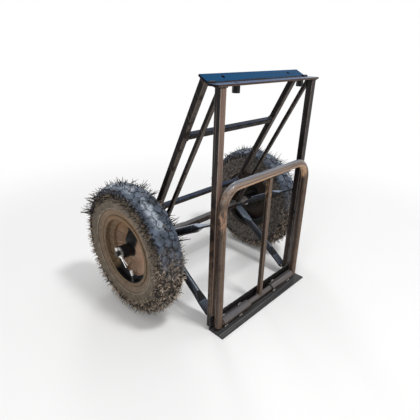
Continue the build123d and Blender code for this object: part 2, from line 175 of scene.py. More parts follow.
class NodeSheet:
    """A node tree while its nodes are being laid out."""

    def __init__(self, tree: bpy.types.NodeTree) -> None:
        """Empty a node tree for use."""
        self.tree = tree
        self.tree.nodes.clear()

    def node(self, kind: str, **settings: Any) -> bpy.types.Node:
        """Add a node.

        Args:
            kind: The node's type name.
            settings: Attributes to set on it.

        Returns:
            The new node.
        """
        made = self.tree.nodes.new(kind)
        for key, value in settings.items():
            setattr(made, key, value)
        return made

    def link(self, source: Socket, target: Socket) -> None:
        """Join an output socket to an input socket."""
        self.tree.links.new(source, target)

    def feed(self, target: Socket, value: Socket | float | Sequence[float]) -> None:
        """Link a socket to an input, or set the input to a plain value.

        Args:
            target: The input.
            value: The socket or plain value.
        """
        if isinstance(value, bpy.types.NodeSocket):
            self.link(value, target)
        else:
            target.default_value = value

    def math(self, operation: str, first: Socket | float, second: Socket | float = 0.0) -> Socket:
        """Return the result of a maths node.

        Args:
            operation: The node's operation name.
            first: The first value.
            second: The second value.

        Returns:
            The result's socket.
        """
        made = self.node("ShaderNodeMath", operation=operation)
        self.feed(made.inputs[0], first)
        self.feed(made.inputs[1], second)
        return made.outputs[0]

    def shown(self) -> Socket:
        """Return 1 for the rays that show the surroundings: the view, glossy and see-through ones.

        Returns:
            The share's socket.
        """
        path = self.node("ShaderNodeLightPath")
        share = path.outputs["Is Camera Ray"]
        for name in ("Is Glossy Ray", "Is Transmission Ray"):
            share = self.math("MAXIMUM", share, path.outputs[name])
        return share

    def either(self, share: Socket, first: Socket, second: Socket) -> Socket:
        """Return one surface or light passing into another.

        Args:
            share: The share of the second.
            first: The first surface or light.
            second: The second surface or light.

        Returns:
            The mixed socket.
        """
        mix = self.node("ShaderNodeMixShader")
        self.link(share, mix.inputs["Fac"])
        self.link(first, mix.inputs[1])
        self.link(second, mix.inputs[2])
        return mix.outputs["Shader"]


class Shader(NodeSheet):
    """A procedural material while its nodes are being laid out."""

    def __init__(self, name: str) -> None:
        """Start a material with one principled surface.

        Args:
            name: The material's name.
        """
        self.material = bpy.data.materials.new(name)
        self.material.use_nodes = True
        super().__init__(self.material.node_tree)
        self.output = self.node("ShaderNodeOutputMaterial")
        self.surface = self.node("ShaderNodeBsdfPrincipled")
        self.link(self.surface.outputs["BSDF"], self.output.inputs["Surface"])

    def set(self, **values: float) -> None:
        """Set numbers on the surface's own sockets, named with underscores for spaces."""
        for key, value in values.items():
            self.surface.inputs[key.replace("_", " ")].default_value = value

    def place(self, center: Point = ORIGIN, scale: Point = (1.0, 1.0, 1.0)) -> Socket:
        """Return object coordinates counted from a centre and stretched.

        Args:
            center: The point that becomes the origin.
            scale: The stretch along each axis after the move.

        Returns:
            The vector socket.
        """
        coordinates = self.node("ShaderNodeTexCoord")
        moved = self.node("ShaderNodeVectorMath", operation="SUBTRACT")
        self.link(coordinates.outputs["Object"], moved.inputs[0])
        moved.inputs[1].default_value = center
        mapping = self.node("ShaderNodeMapping")
        mapping.inputs["Scale"].default_value = scale
        self.link(moved.outputs[0], mapping.inputs["Vector"])
        return mapping.outputs["Vector"]

    def normal(self) -> Socket:
        """Return the surface's direction in the object's own axes."""
        return self.node("ShaderNodeTexCoord").outputs["Normal"]

    def leaned(self, vector: Socket, degrees: float) -> Socket:
        """Return a vector turned about the X axis.

        Args:
            vector: The vector.
            degrees: The angle.

        Returns:
            The turned vector's socket.
        """
        turned = self.node("ShaderNodeVectorRotate", rotation_type="X_AXIS")
        self.link(vector, turned.inputs["Vector"])
        turned.inputs["Angle"].default_value = math.radians(degrees)
        return turned.outputs["Vector"]

    def stretched(self, vector: Socket, scale: Point) -> Socket:
        """Return a vector with each component multiplied.

        Args:
            vector: The vector.
            scale: One factor for each component.

        Returns:
            The stretched vector's socket.
        """
        made = self.node("ShaderNodeVectorMath", operation="MULTIPLY")
        self.link(vector, made.inputs[0])
        made.inputs[1].default_value = scale
        return made.outputs[0]

    def distance(self, center: Point) -> Socket:
        """Return the distance from a point in the object's own axes.

        Args:
            center: The point.

        Returns:
            The distance's socket.
        """
        made = self.node("ShaderNodeVectorMath", operation="LENGTH")
        self.link(self.place(center), made.inputs[0])
        return made.outputs["Value"]

    def axes(self, vector: Socket) -> tuple[Socket, Socket, Socket]:
        """Split a vector into its three components.

        Args:
            vector: The vector.

        Returns:
            The components' sockets.
        """
        split = self.node("ShaderNodeSeparateXYZ")
        self.link(vector, split.inputs[0])
        return split.outputs[0], split.outputs[1], split.outputs[2]

    def times(self, first: Socket, *others: Socket | float) -> Socket:
        """Return the product of several values.

        Args:
            first: The first value.
            others: The values to multiply it by.

        Returns:
            The product's socket.
        """
        product = first
        for other in others:
            product = self.math("MULTIPLY", product, other)
        return product

    def between(self, first: Socket, second: Socket, share: Socket | float) -> Socket:
        """Return a value that lies between two others.

        Args:
            first: The value at a share of 0.
            second: The value at a share of 1.
            share: The share of the second value.

        Returns:
            The value's socket.
        """
        driven = isinstance(share, bpy.types.NodeSocket)
        rest = self.math("SUBTRACT", 1.0, share) if driven else 1.0 - share
        return self.math("ADD", self.times(first, rest), self.times(second, share))

    def ragged(self, value: Socket, noise: Socket, amount: float) -> Socket:
        """Return a value made uneven by a noise of a given amount."""
        return self.math("ADD", value, self.times(noise, amount))

    def reach(self, first: Socket, second: Socket) -> Socket:
        """Return the length of two sides that stand square to each other."""
        return self.math("SQRT", self.math("ADD", self.times(first, first), self.times(second, second)))

    def off_axle(self, vector: Socket) -> Socket:
        """Return the distance of a vector's end from the X axis."""
        return self.reach(*self.axes(vector)[1:])

    def band(self, value: Socket, step: Step) -> Socket:
        """Return a smooth step over a value.

        Args:
            value: The value.
            step: Where the step starts and where it is full.

        Returns:
            The share's socket, from 0 to 1.
        """
        made = self.node("ShaderNodeMapRange", interpolation_type="SMOOTHSTEP")
        self.link(value, made.inputs["Value"])
        rising = step.start < step.full
        made.inputs["From Min"].default_value = min(step)
        made.inputs["From Max"].default_value = max(step)
        made.inputs["To Min"].default_value = 0.0 if rising else 1.0
        made.inputs["To Max"].default_value = 1.0 if rising else 0.0
        return made.outputs["Result"]

    def noise(self, vector: Socket, grit: Grit) -> Socket:
        """Return a noise value.

        Args:
            vector: The coordinates to read.
            grit: The noise's fineness.

        Returns:
            The value's socket, about 0.3 to 0.7.
        """
        made = self.node("ShaderNodeTexNoise")
        self.link(vector, made.inputs["Vector"])
        made.inputs["Scale"].default_value = grit.scale
        made.inputs["Detail"].default_value = grit.detail
        made.inputs["Roughness"].default_value = grit.weight
        return made.outputs["Fac"]

    def spots(self, vector: Socket, scale: float) -> Socket:
        """Return the distance to the nearest of scattered points.

        Args:
            vector: The coordinates to read.
            scale: Points per metre.

        Returns:
            The distance's socket, in cells.
        """
        made = self.node("ShaderNodeTexVoronoi")
        self.link(vector, made.inputs["Vector"])
        made.inputs["Scale"].default_value = scale
        return made.outputs["Distance"]

    def ramp(self, value: Socket, step: Step, low: Rgb, high: Rgb) -> Socket:
        """Return a colour that follows a value.

        Args:
            value: The value from 0 to 1.
            step: Where the first colour ends and where the second is full.
            low: The first colour.
            high: The second colour.

        Returns:
            The colour's socket.
        """
        made = self.node("ShaderNodeValToRGB")
        for element, position, colour in zip(made.color_ramp.elements, step, (low, high)):
            element.position = position
            element.color = (*colour, 1.0)
        self.link(value, made.inputs["Fac"])
        return made.outputs["Color"]

    def blend(self, share: Socket, under: Socket | Rgb, over: Socket | Rgb) -> Socket:
        """Return one colour laid over another.

        Args:
            share: The share of the upper colour, from 0 to 1.
            under: The lower colour.
            over: The upper colour.

        Returns:
            The colour's socket.
        """
        made = self.node("ShaderNodeMix", data_type="RGBA")
        self.link(share, made.inputs[0])
        for target, colour in ((made.inputs[6], under), (made.inputs[7], over)):
            plain = not isinstance(colour, bpy.types.NodeSocket)
            self.feed(target, (*colour, 1.0) if plain else colour)
        return made.outputs[2]

    def colour(self, value: Socket) -> None:
        """Drive the surface's base colour."""
        self.link(value, self.surface.inputs["Base Color"])

    def polish(self, value: Socket, polish: Polish) -> None:
        """Drive the surface's roughness by a noise value, and set its coat and specular level.

        Args:
            value: The noise value.
            polish: How the surface shines.
        """
        step = self.node("ShaderNodeMapRange")
        self.link(value, step.inputs["Value"])
        step.inputs["From Min"].default_value = NOISE_RANGE.low
        step.inputs["From Max"].default_value = NOISE_RANGE.high
        step.inputs["To Min"].default_value = polish.smooth
        step.inputs["To Max"].default_value = polish.rough
        self.link(step.outputs["Result"], self.surface.inputs["Roughness"])
        self.set(Coat_Weight=polish.coat, Coat_Roughness=polish.coat_rough, Specular_IOR_Level=polish.level)

    def bump(self, height: Socket, relief: Relief) -> None:
        """Raise the surface by a height value.

        Args:
            height: The height, from 0 to 1.
            relief: The relief's depth and strength.
        """
        made = self.node("ShaderNodeBump")
        made.inputs["Strength"].default_value = relief.strength
        made.inputs["Distance"].default_value = relief.depth
        self.link(height, made.inputs["Height"])
        self.link(made.outputs["Normal"], self.surface.inputs["Normal"])


@dataclass(frozen=True)
class Finish(ABC):
    """A finish that is laid out as one procedural material and shared by the pieces that wear it."""

    name: str

    @abstractmethod
    def lay(self, shader: Shader) -> None:
        """Lay the finish out on a new material."""

    def material(self) -> bpy.types.Material:
        """Return the finish's material, which is laid out at the first call.

        Returns:
            The material.
        """
        made = bpy.data.materials.get(self.name)
        if made is None:
            shader = Shader(self.name)
            self.lay(shader)
            made = shader.material
        return made


@dataclass(frozen=True)
class EnamelFinish(Finish):
    """Brushed-on gloss enamel, black on flanks and brown on fronts, with a painted sky reflection on tops and
    a painted ground reflection on undersides.

    Edges show wear, partly painted as a highlight, streaks follow the brush and carry painted reflection
    lines, and dust settles low down.
    """

    flank: Rgb
    front: Rgb
    # top is a painted sky reflection and under a painted ground reflection
    top: Rgb
    under: Rgb
    edge: Rgb = (0.340, 0.285, 0.250)
    dust: Rgb = (0.120, 0.078, 0.052)
    # Streak tones: brush marks whose dark and light lines are partly painted reflection
    streak_reflection_dark: Rgb = (0.006, 0.005, 0.005)
    grain: Grain = Grain.UPRIGHT
    lean: float = 0.0
    edge_share: float = 0.55
    dust_high: float = 0.35
    dust_full: float = 0.02
    dust_share: float = 0.30
    streak: float = 0.50
    gleam: float = 0.30
    smooth: float = 0.14
    rough: float = 0.34
    coat: float = 0.10
    coat_rough: float = 0.12
    level: float = 0.10
    ripple: float = 0.6
    ripple_depth: float = 0.00025
    brush_gloss: float = 0.5
    brush: Grit = Grit(210.0, 3.0, 0.5)
    patches: Grit = Grit(30.0, 6.0, 0.65)
    chip_places: Grit = Grit(14.0, 2.0)
    chip_scale: float = 130.0
    facing: Step = Step(0.45, 0.85)
    sky_reflection_up: Step = Step(0.18, 0.60)
    ground_reflection_down: Step = Step(0.0, -0.30)
    dark_streaks: Step = Step(0.54, 0.38)
    light_streaks: Step = Step(0.59, 0.68)
    rounded: Step = Step(0.985, 0.86)
    wear_and_sheen_patches: Step = Step(0.34, 0.52)
    dust_patches: Step = Step(0.36, 0.64)
    chip_size: Step = Step(0.10, 0.05)
    chip_patches: Step = Step(0.54, 0.64)

    def streaks(self, shader: Shader, here: Socket) -> Socket:
        """Return the noise of the brush marks."""
        along = shader.stretched(shader.leaned(here, self.lean), self.grain.value)
        return shader.noise(along, self.brush)

    def sides(self, shader: Shader) -> Socket:
        """Return the paint's colour on the flanks and fronts.

        Args:
            shader: The material that is being laid out.

        Returns:
            The colour's socket.
        """
        across = shader.axes(shader.normal())[1]
        facing = shader.band(shader.math("ABSOLUTE", across), self.facing)
        return shader.blend(facing, self.flank, self.front)

    def upper(self, shader: Shader) -> Socket | Rgb:
        """Return the painted sky reflection on the faces that look up."""
        return self.top

    def marks(self, shader: Shader, colour: Socket, patchy: Socket) -> Socket:
        """Return the colour with the marks of the piece itself, of which plain enamel has none."""
        return colour

    def tone(self, shader: Shader, streaks: Socket) -> Socket:
        """Return the colour by the way that a face looks, with painted light on tops and undersides, streaked
        along the brush marks.

        Args:
            shader: The material that is being laid out.
            streaks: The noise of the brush marks.

        Returns:
            The colour's socket.
        """
        up = shader.axes(shader.normal())[2]
        # Painted sky reflection on faces that look up, painted ground reflection on faces that look down
        colour = shader.blend(shader.band(up, self.sky_reflection_up), self.sides(shader), self.upper(shader))
        colour = shader.blend(shader.band(up, self.ground_reflection_down), colour, self.under)
        # Dark and light streaks along the brush, partly painted reflection lines
        dark = shader.times(shader.band(streaks, self.dark_streaks), self.streak)
        colour = shader.blend(dark, colour, self.streak_reflection_dark)
        light = shader.times(shader.band(streaks, self.light_streaks), self.gleam)
        return shader.blend(light, colour, self.edge)

    def wear_and_sheen(self, shader: Shader, patchy: Socket) -> Socket:
        """Return the share of the pale edge tone: wear on rounded edges, which on round tubes also lies in
        stripes as a painted highlight.

        Args:
            shader: The material that is being laid out.
            patchy: A noise that breaks the wear up.

        Returns:
            The share's socket.
        """
        sides = shader.axes(shader.leaned(shader.normal(), self.lean))
        flat = shader.math("ABSOLUTE", sides[0])
        for side in sides[1:]:
            flat = shader.math("MAXIMUM", flat, shader.math("ABSOLUTE", side))
        edge = shader.band(flat, self.rounded)
        return shader.times(edge, shader.band(patchy, self.wear_and_sheen_patches), self.edge_share)

    def soiled(self, shader: Shader, colour: Socket, patchy: Socket) -> Socket:
        """Return the colour with dust low down and with scattered chips.

        Args:
            shader: The material that is being laid out.
            colour: The paint's colour.
            patchy: A noise that breaks the dust up.

        Returns:
            The colour's socket.
        """
        here = shader.place()
        low = shader.band(shader.axes(here)[2], Step(self.dust_high, self.dust_full))
        dusty = shader.times(low, shader.band(patchy, self.dust_patches), self.dust_share)
        colour = shader.blend(dusty, colour, self.dust)
        chips = shader.band(shader.spots(here, self.chip_scale), self.chip_size)
        sparse = shader.band(shader.noise(here, self.chip_places), self.chip_patches)
        return shader.blend(shader.times(chips, sparse), colour, self.edge)

    def lay(self, shader: Shader) -> None:
        """Lay the paint, its wear and its dirt out on a new material.

        Args:
            shader: The material.
        """
        here = shader.place()
        streaks = self.streaks(shader, here)
        patchy = shader.noise(here, self.patches)
        colour = shader.blend(self.wear_and_sheen(shader, patchy), self.tone(shader, streaks), self.edge)
        colour = self.soiled(shader, colour, patchy)
        shader.colour(self.marks(shader, colour, patchy))
        gloss = Polish(self.smooth, self.rough, self.coat, self.coat_rough, self.level)
        shader.polish(shader.between(patchy, streaks, self.brush_gloss), gloss)
        shader.bump(streaks, Relief(self.ripple_depth, self.ripple))


@dataclass(frozen=True)
class HingedEnamel(EnamelFinish):
    """Enamel of the hinged plates, with a line of grime along the hinge."""

    grime: Rgb = (0.016, 0.013, 0.012)
    grime_width: Step = Step(0.0060, 0.0030)
    grime_ragged: float = 0.010

    def marks(self, shader: Shader, colour: Socket, patchy: Socket) -> Socket:
        """Return the colour with the hinge's grime.

        Args:
            shader: The material that is being laid out.
            colour: The paint's colour.
            patchy: A noise that breaks the line's edges up.

        Returns:
            The colour's socket.
        """
        depth = shader.axes(shader.place())[1]
        away = shader.math("ABSOLUTE", shader.math("SUBTRACT", depth, HINGE_Y))
        uneven = shader.ragged(away, shader.math("SUBTRACT", patchy, NOISE_MIDDLE), self.grime_ragged)
        return shader.blend(shader.band(uneven, self.grime_width), colour, self.grime)


@dataclass(frozen=True)
class BraceEnamel(EnamelFinish):
    """Enamel of the braces, with a painted highlight along the crest that gives way to a darker tone at the
    front ends.
    """

    end_tone: Rgb = (0.060, 0.072, 0.098)
    end_y: Step = Step(-0.152, -0.128)

    def upper(self, shader: Shader) -> Socket | Rgb:
        """Return the painted crest highlight on the faces that look up, with a darker tone at the front ends.
        """
        behind = shader.band(shader.axes(shader.place())[1], self.end_y)
        return shader.blend(behind, self.end_tone, self.top)


@dataclass(frozen=True)
class ScuffedEnamel(EnamelFinish):
    """Enamel that is scraped through to a warm undercoat round one spot."""

    scuff: Point = ORIGIN
    scuff_radius: float = 0.055
    scuff_core: float = 0.3
    scuff_tone: Rgb = (0.330, 0.195, 0.125)
    scrape: Point = (1.0, 1.0, 0.30)
    flakes: Grit = Grit(130.0, 5.0, 0.65)
    flake_size: Step = Step(0.46, 0.62)

    def marks(self, shader: Shader, colour: Socket, patchy: Socket) -> Socket:
        """Return the colour with the scuff.

        Args:
            shader: The material that is being laid out.
            colour: The paint's colour.
            patchy: The noise of the wear, which the scuff doesn't follow.

        Returns:
            The colour's socket.
        """
        reach = Step(self.scuff_radius, self.scuff_core * self.scuff_radius)
        near = shader.band(shader.distance(self.scuff), reach)
        drawn = shader.stretched(shader.place(), self.scrape)
        flakes = shader.band(shader.noise(drawn, self.flakes), self.flake_size)
        return shader.blend(shader.times(near, flakes), colour, self.scuff_tone)


@dataclass(frozen=True)
class LoopEnamel(ScuffedEnamel):
    """Enamel of the nose loop, brushed along the tube, with painted light on its crest."""

    # Crest tone: painted light on the top tube
    crest: Step = Step(0.395, 0.425)
    crest_light: Rgb = (0.212, 0.148, 0.113)

    def streaks(self, shader: Shader, here: Socket) -> Socket:
        """Return the noise of the brush marks, which lie level on the crest.

        Args:
            shader: The material that is being laid out.
            here: Coordinates in the frame.

        Returns:
            The noise's socket.
        """
        upright = super().streaks(shader, here)
        level = shader.noise(shader.stretched(here, Grain.LEVEL.value), self.brush)
        return shader.between(upright, level, shader.band(shader.axes(here)[2], self.crest))

    def sides(self, shader: Shader) -> Socket:
        """Return the colour on the flanks and the fronts, with painted light on the crest."""
        high = shader.band(shader.axes(shader.place())[2], self.crest)
        return shader.blend(high, super().sides(shader), self.crest_light)


@dataclass(frozen=True)
class WheelFinish(Finish):
    """A finish that is laid out round the centre of one wheel and knows its outer side."""

    center: Point
    outward: float


@dataclass(frozen=True)
class DiscFinish(WheelFinish):
    """Wheel enamel under road dust, wiped in rays from the hub, with painted shade above the hub, black round
    the boss, painted shade on the inner face and painted warm light high up.
    """

    gloss: Rgb = (0.008, 0.008, 0.009)
    dust: Rgb = (0.090, 0.057, 0.037)
    middle: Rgb = (0.260, 0.172, 0.116)
    pale: Rgb = (0.400, 0.258, 0.182)
    warm_light: Rgb = (0.215, 0.118, 0.052)
    rays_round: float = 7.0
    rays_out: float = 9.0
    wipes: Grit = Grit(2.6, 6.0, 0.65)
    speckle: Grit = Grit(190.0)
    speckle_share: float = 0.4
    dust_step: Step = Step(0.38, 0.60)
    pale_front: Step = Step(0.020, -0.055)
    pale_wipes: Step = Step(0.30, 0.50)
    warm_light_high: Step = Step(0.015, 0.060)
    warm_light_share: float = 0.65
    shade_patch_across: Step = Step(0.032, 0.022)
    shade_patch_high: Step = Step(0.008, 0.020)
    shade_patch_radius: Step = Step(0.066, 0.058)
    boss_radius: Step = Step(0.028, 0.022)
    inner_shade_face: Step = Step(0.05, 0.25)
    inner_shade_share: float = 0.93
    shine: Polish = Polish(0.35, 0.60, 0.05, 0.25, 0.08)
    relief: Relief = Relief(0.0003, 0.5)

    def wiped(self, shader: Shader, here: Socket) -> Socket:
        """Return the noise of the wiped rays.

        Args:
            shader: The material that is being laid out.
            here: Coordinates from the wheel's centre.

        Returns:
            The noise's socket.
        """
        _, depth, height = shader.axes(here)
        turn = shader.math("ARCTAN2", height, depth)
        rays = shader.node("ShaderNodeCombineXYZ")
        shader.link(shader.times(turn, self.rays_round), rays.inputs[0])
        shader.link(shader.times(shader.off_axle(here), self.rays_out), rays.inputs[1])
        return shader.noise(rays.outputs[0], self.wipes)

    def with_painted_shade(self, shader: Shader, here: Socket, colour: Socket) -> Socket:
        """Return the colour with painted shade above the hub, black round the boss and painted shade on the
        inner face.

        Args:
            shader: The material that is being laid out.
            here: Coordinates from the wheel's centre.
            colour: The dusty colour.

        Returns:
            The colour's socket.
        """
        _, depth, height = shader.axes(here)
        radius = shader.off_axle(here)
        # Painted shade patch above the hub
        above = shader.band(shader.math("ABSOLUTE", depth), self.shade_patch_across)
        high = shader.band(height, self.shade_patch_high)
        bare = shader.times(above, high, shader.band(radius, self.shade_patch_radius))
        # Painted shade on the wheel's inner face
        inward = shader.times(shader.axes(shader.normal())[0], -self.outward)
        inner_shade_mask = shader.times(shader.band(inward, self.inner_shade_face), self.inner_shade_share)
        for share in (bare, shader.band(radius, self.boss_radius), inner_shade_mask):
            colour = shader.blend(share, colour, self.gloss)
        return colour

    def lay(self, shader: Shader) -> None:
        """Lay the dusty disc out on a new material.

        Args:
            shader: The material.
        """
        here = shader.place(self.center)
        _, depth, height = shader.axes(here)
        wiped = self.wiped(shader, here)
        speckle = shader.noise(here, self.speckle)
        colour = shader.ramp(wiped, self.dust_step, self.dust, self.middle)
        forward = shader.times(shader.band(depth, self.pale_front), shader.band(wiped, self.pale_wipes))
        colour = shader.blend(forward, colour, self.pale)
        # Painted warm light on the upper part of the disc
        high = shader.times(shader.band(height, self.warm_light_high), self.warm_light_share)
        colour = shader.blend(high, colour, self.warm_light)
        shader.colour(self.with_painted_shade(shader, here, colour))
        shader.polish(shader.between(wiped, speckle, self.speckle_share), self.shine)
        shader.bump(speckle, self.relief)


@dataclass(frozen=True)
class RimFinish(WheelFinish):
    """Rim enamel under road dust, with painted shade low in the front of the barrel and on the inner side,
    and painted warm light high up.
    """

    gloss: Rgb = (0.007, 0.007, 0.008)
    dust: Rgb = (0.100, 0.070, 0.042)
    pale: Rgb = (0.190, 0.132, 0.082)
    warm_light: Rgb = (0.215, 0.125, 0.060)
    speckle: Grit = Grit(120.0, 5.0)
    barrel_radius: Step = Step(0.1055, 0.1015)
    barrel_ragged: float = 0.004
    barrel_shade_low: Step = Step(-0.030, -0.046)
    barrel_shade_front: Step = Step(0.066, 0.046)
    dust_step: Step = Step(0.36, 0.64)
    warm_light_high: Step = Step(0.035, 0.090)
    warm_light_share: float = 0.55
    inner_shade_side: Step = Step(0.0, 0.012)
    inner_shade_share: float = 0.92
    shine: Polish = Polish(0.26, 0.56, 0.06, 0.15, 0.08)
    relief: Relief = Relief(0.0002, 0.5)

    def lay(self, shader: Shader) -> None:
        """Lay the dusty rim out on a new material.

        Args:
            shader: The material.
        """
        here = shader.place(self.center)
        across, depth, height = shader.axes(here)
        speckle = shader.noise(here, self.speckle)
        barrel = shader.band(shader.ragged(shader.off_axle(here), speckle, self.barrel_ragged),
                             self.barrel_radius)
        low = shader.times(shader.band(height, self.barrel_shade_low), shader.band(depth, self.barrel_shade_front))
        colour = shader.ramp(speckle, self.dust_step, self.dust, self.pale)
        # Painted warm light high on the rim
        high = shader.times(shader.band(height, self.warm_light_high), self.warm_light_share)
        colour = shader.blend(high, colour, self.warm_light)
        # Painted shade low in the front of the barrel
        colour = shader.blend(shader.times(barrel, low), colour, self.gloss)
        # Painted shade on the rim's inner side
        inward = shader.times(across, -self.outward)
        inner_shade_mask = shader.times(shader.band(inward, self.inner_shade_side), self.inner_shade_share)
        shader.colour(shader.blend(inner_shade_mask, colour, self.gloss))
        shader.polish(speckle, self.shine)
        shader.bump(speckle, self.relief)


@dataclass(frozen=True)
class RubberFinish(WheelFinish):
    """Tyre rubber: painted blue sky sheen high on the tread, brown road dust low down and on the sidewalls,
    painted shade in the grooves and on the inner side.
    """

    sky_sheen: Rgb = (0.102, 0.127, 0.172)
    shade: Rgb = (0.030, 0.034, 0.042)
    sky_sheen_patches: Grit = Grit(30.0, 5.0, 0.65)
    sky_sheen_step: Step = Step(0.34, 0.60)
    mud: Rgb = (0.200, 0.152, 0.116)
    soil: Rgb = (0.022, 0.018, 0.015)
    mud_patches: Grit = Grit(120.0, 5.0, 0.65)
    mud_step: Step = Step(0.44, 0.60)
    mud_height: Step = Step(0.030, 0.150)
    mud_ragged: float = 0.10
    sheen: Rgb = (0.350, 0.390, 0.440)
    sheen_patches: Grit = Grit(26.0, 5.0)
    sheen_step: Step = Step(0.46, 0.66)
    sheen_inner: Step = Step(-0.006, 0.010)
    sheen_outer: Step = Step(0.030, 0.022)
    sheen_high: Step = Step(0.070, 0.125)
    groove_shade: Rgb = (0.006, 0.006, 0.007)
    groove_shade_radius: Step = Step(0.1955, 0.1925)
    groove_shade_across: Step = Step(0.033, 0.024)
    crown_radius: float = 0.0542
    dust: Rgb = (0.150, 0.112, 0.072)
    grime: Rgb = (0.050, 0.041, 0.031)
    blotches: Grit = Grit(60.0, 6.0, 0.7)
    dust_step: Step = Step(0.32, 0.66)
    bead_dust: Rgb = (0.190, 0.132, 0.088)
    bead_shade: Rgb = (0.105, 0.072, 0.048)
    bead_step: Step = Step(0.34, 0.62)
    bead_radius: Step = Step(0.1330, 0.1280)
    warm_light: Rgb = (0.200, 0.122, 0.062)
    warm_light_high: Step = Step(0.040, 0.110)
    warm_light_share: float = 0.60
    ring: Rgb = (0.330, 0.262, 0.190)
    ring_radius: float = 0.1330
    seam_radius: float = 0.1300
    line_width: Step = Step(0.0022, 0.0006)
    line_patches: Step = Step(0.36, 0.58)
    line_share: float = 0.75
    shoulder_radius: Step = Step(0.156, 0.180)
    shoulder_share: float = 0.75
    inner_shade: Rgb = (0.012, 0.012, 0.012)
    inner_dust: Rgb = (0.165, 0.150, 0.142)
    inner_patches: Grit = Grit(95.0, 6.0, 0.75)
    inner_step: Step = Step(0.46, 0.58)
    inner_shade_side: Step = Step(0.010, 0.028)
    inner_shade_share: float = 0.75
    broad: Grit = Grit(34.0, 5.0, 0.6)
    pores: Grit = Grit(330.0)
    wall_radius: Step = Step(0.192, 0.180)
    wall_ragged: float = 0.014
    shine: Polish = Polish(0.34, 0.62, level=0.22)
    relief: Relief = Relief(0.0006, 0.6)

    def tread(self, shader: Shader, here: Socket, radius: Socket) -> Socket:
        """Return the tread's colour: painted blue sky sheen high up over mud low down, a painted pale sheen
        on the outer rows and painted shade in the grooves.

        Args:
            shader: The material that is being laid out.
            here: Coordinates from the wheel's centre.
            radius: The distance from the axle.

        Returns:
            The colour's socket.
        """
        across, _, height = shader.axes(here)
        patchy = shader.noise(here, self.sky_sheen_patches)
        # Painted blue sky sheen high on the tread, mud low down
        high = shader.ramp(patchy, self.sky_sheen_step, self.shade, self.sky_sheen)
        low = shader.ramp(shader.noise(here, self.mud_patches), self.mud_step, self.soil, self.mud)
        clear = shader.band(shader.ragged(height, patchy, self.mud_ragged), self.mud_height)
        colour = shader.blend(clear, low, high)
        # Painted pale sheen on the outer rows of the upper tread: a painted highlight
        outside = shader.times(across, self.outward)
        wear_and_sheen = shader.times(shader.band(outside, self.sheen_inner), shader.band(outside, self.sheen_outer),
                            shader.band(height, self.sheen_high),
                            shader.band(shader.noise(here, self.sheen_patches), self.sheen_step))
        colour = shader.blend(wear_and_sheen, colour, self.sheen)
        # Painted shade in the grooves between the blocks
        sagged = shader.math("DIVIDE", shader.times(across, across), 2.0 * self.crown_radius)
        deep = shader.band(shader.math("ADD", radius, sagged), self.groove_shade_radius)
        inside = shader.band(shader.math("ABSOLUTE", across), self.groove_shade_across)
        return shader.blend(shader.times(deep, inside), colour, self.groove_shade)

    def wall(self, shader: Shader, here: Socket, radius: Socket) -> Socket:
        """Return the sidewall's colour: dusty bead with painted warm light high up, dark seam, pale ring,
        grimy shoulder and painted shade on the inner side.

        Args:
            shader: The material that is being laid out.
            here: Coordinates from the wheel's centre.
            radius: The distance from the axle.

        Returns:
            The colour's socket.
        """
        across, _, height = shader.axes(here)
        blotch = shader.noise(here, self.blotches)
        colour = shader.ramp(blotch, self.dust_step, self.grime, self.dust)
        bead = shader.ramp(blotch, self.bead_step, self.bead_shade, self.bead_dust)
        # Painted warm light high on the bead
        high = shader.times(shader.band(height, self.warm_light_high), self.warm_light_share)
        bead = shader.blend(high, bead, self.warm_light)
        colour = shader.blend(shader.band(radius, self.bead_radius), colour, bead)
        for spot, tone in ((self.seam_radius, self.soil), (self.ring_radius, self.ring)):
            away = shader.math("ABSOLUTE", shader.math("SUBTRACT", radius, spot))
            line = shader.times(shader.band(away, self.line_width),
                                shader.band(blotch, self.line_patches), self.line_share)
            colour = shader.blend(line, colour, tone)
        outer = shader.times(shader.band(radius, self.shoulder_radius), self.shoulder_share)
        colour = shader.blend(outer, colour, self.soil)
        # Painted shade on the inner sidewall, mottled with dust
        inward = shader.times(across, -self.outward)
        inner_shade_mask = shader.times(shader.band(inward, self.inner_shade_side), self.inner_shade_share)
        fine = shader.noise(here, self.inner_patches)
        inner = shader.ramp(fine, self.inner_step, self.inner_shade, self.inner_dust)
        return shader.blend(inner_shade_mask, colour, inner)

    def lay(self, shader: Shader) -> None:
        """Lay tread and walls out on a new material.

        Args:
            shader: The material.
        """
        here = shader.place(self.center)
        radius = shader.off_axle(here)
        broad = shader.noise(here, self.broad)
        side = shader.band(shader.ragged(radius, broad, self.wall_ragged), self.wall_radius)
        tread, wall = self.tread(shader, here, radius), self.wall(shader, here, radius)
        shader.colour(shader.blend(side, tread, wall))
        shader.polish(broad, self.shine)
        shader.bump(shader.noise(here, self.pores), self.relief)


@dataclass(frozen=True)
class ValveFinish(Finish):
    """Valve with a black rubber foot and a pale metal cap, told apart by their distance from the axle."""

    center: Point
    rubber: Rgb = (0.016, 0.016, 0.016)
    cap: Rgb = (0.780, 0.780, 0.760)
    cap_dull: Rgb = (0.55, 0.55, 0.54)
    cap_radius: Step = Step(0.081, 0.080)
    cap_step: Step = Step(0.35, 0.62)
    speckle: Grit = Grit(300.0, 3.0)
    shine: Polish = Polish(0.22, 0.45)
    relief: Relief = Relief(0.0001, 0.4)

    def lay(self, shader: Shader) -> None:
        """Lay foot and cap out on a new material.

        Args:
            shader: The material.
        """
        here = shader.place(self.center)
        speckle = shader.noise(here, self.speckle)
        tip = shader.band(shader.off_axle(here), self.cap_radius)
        pale = shader.ramp(speckle, self.cap_step, self.cap_dull, self.cap)
        shader.colour(shader.blend(tip, self.rubber, pale))
        shader.polish(speckle, self.shine)
        shader.bump(speckle, self.relief)


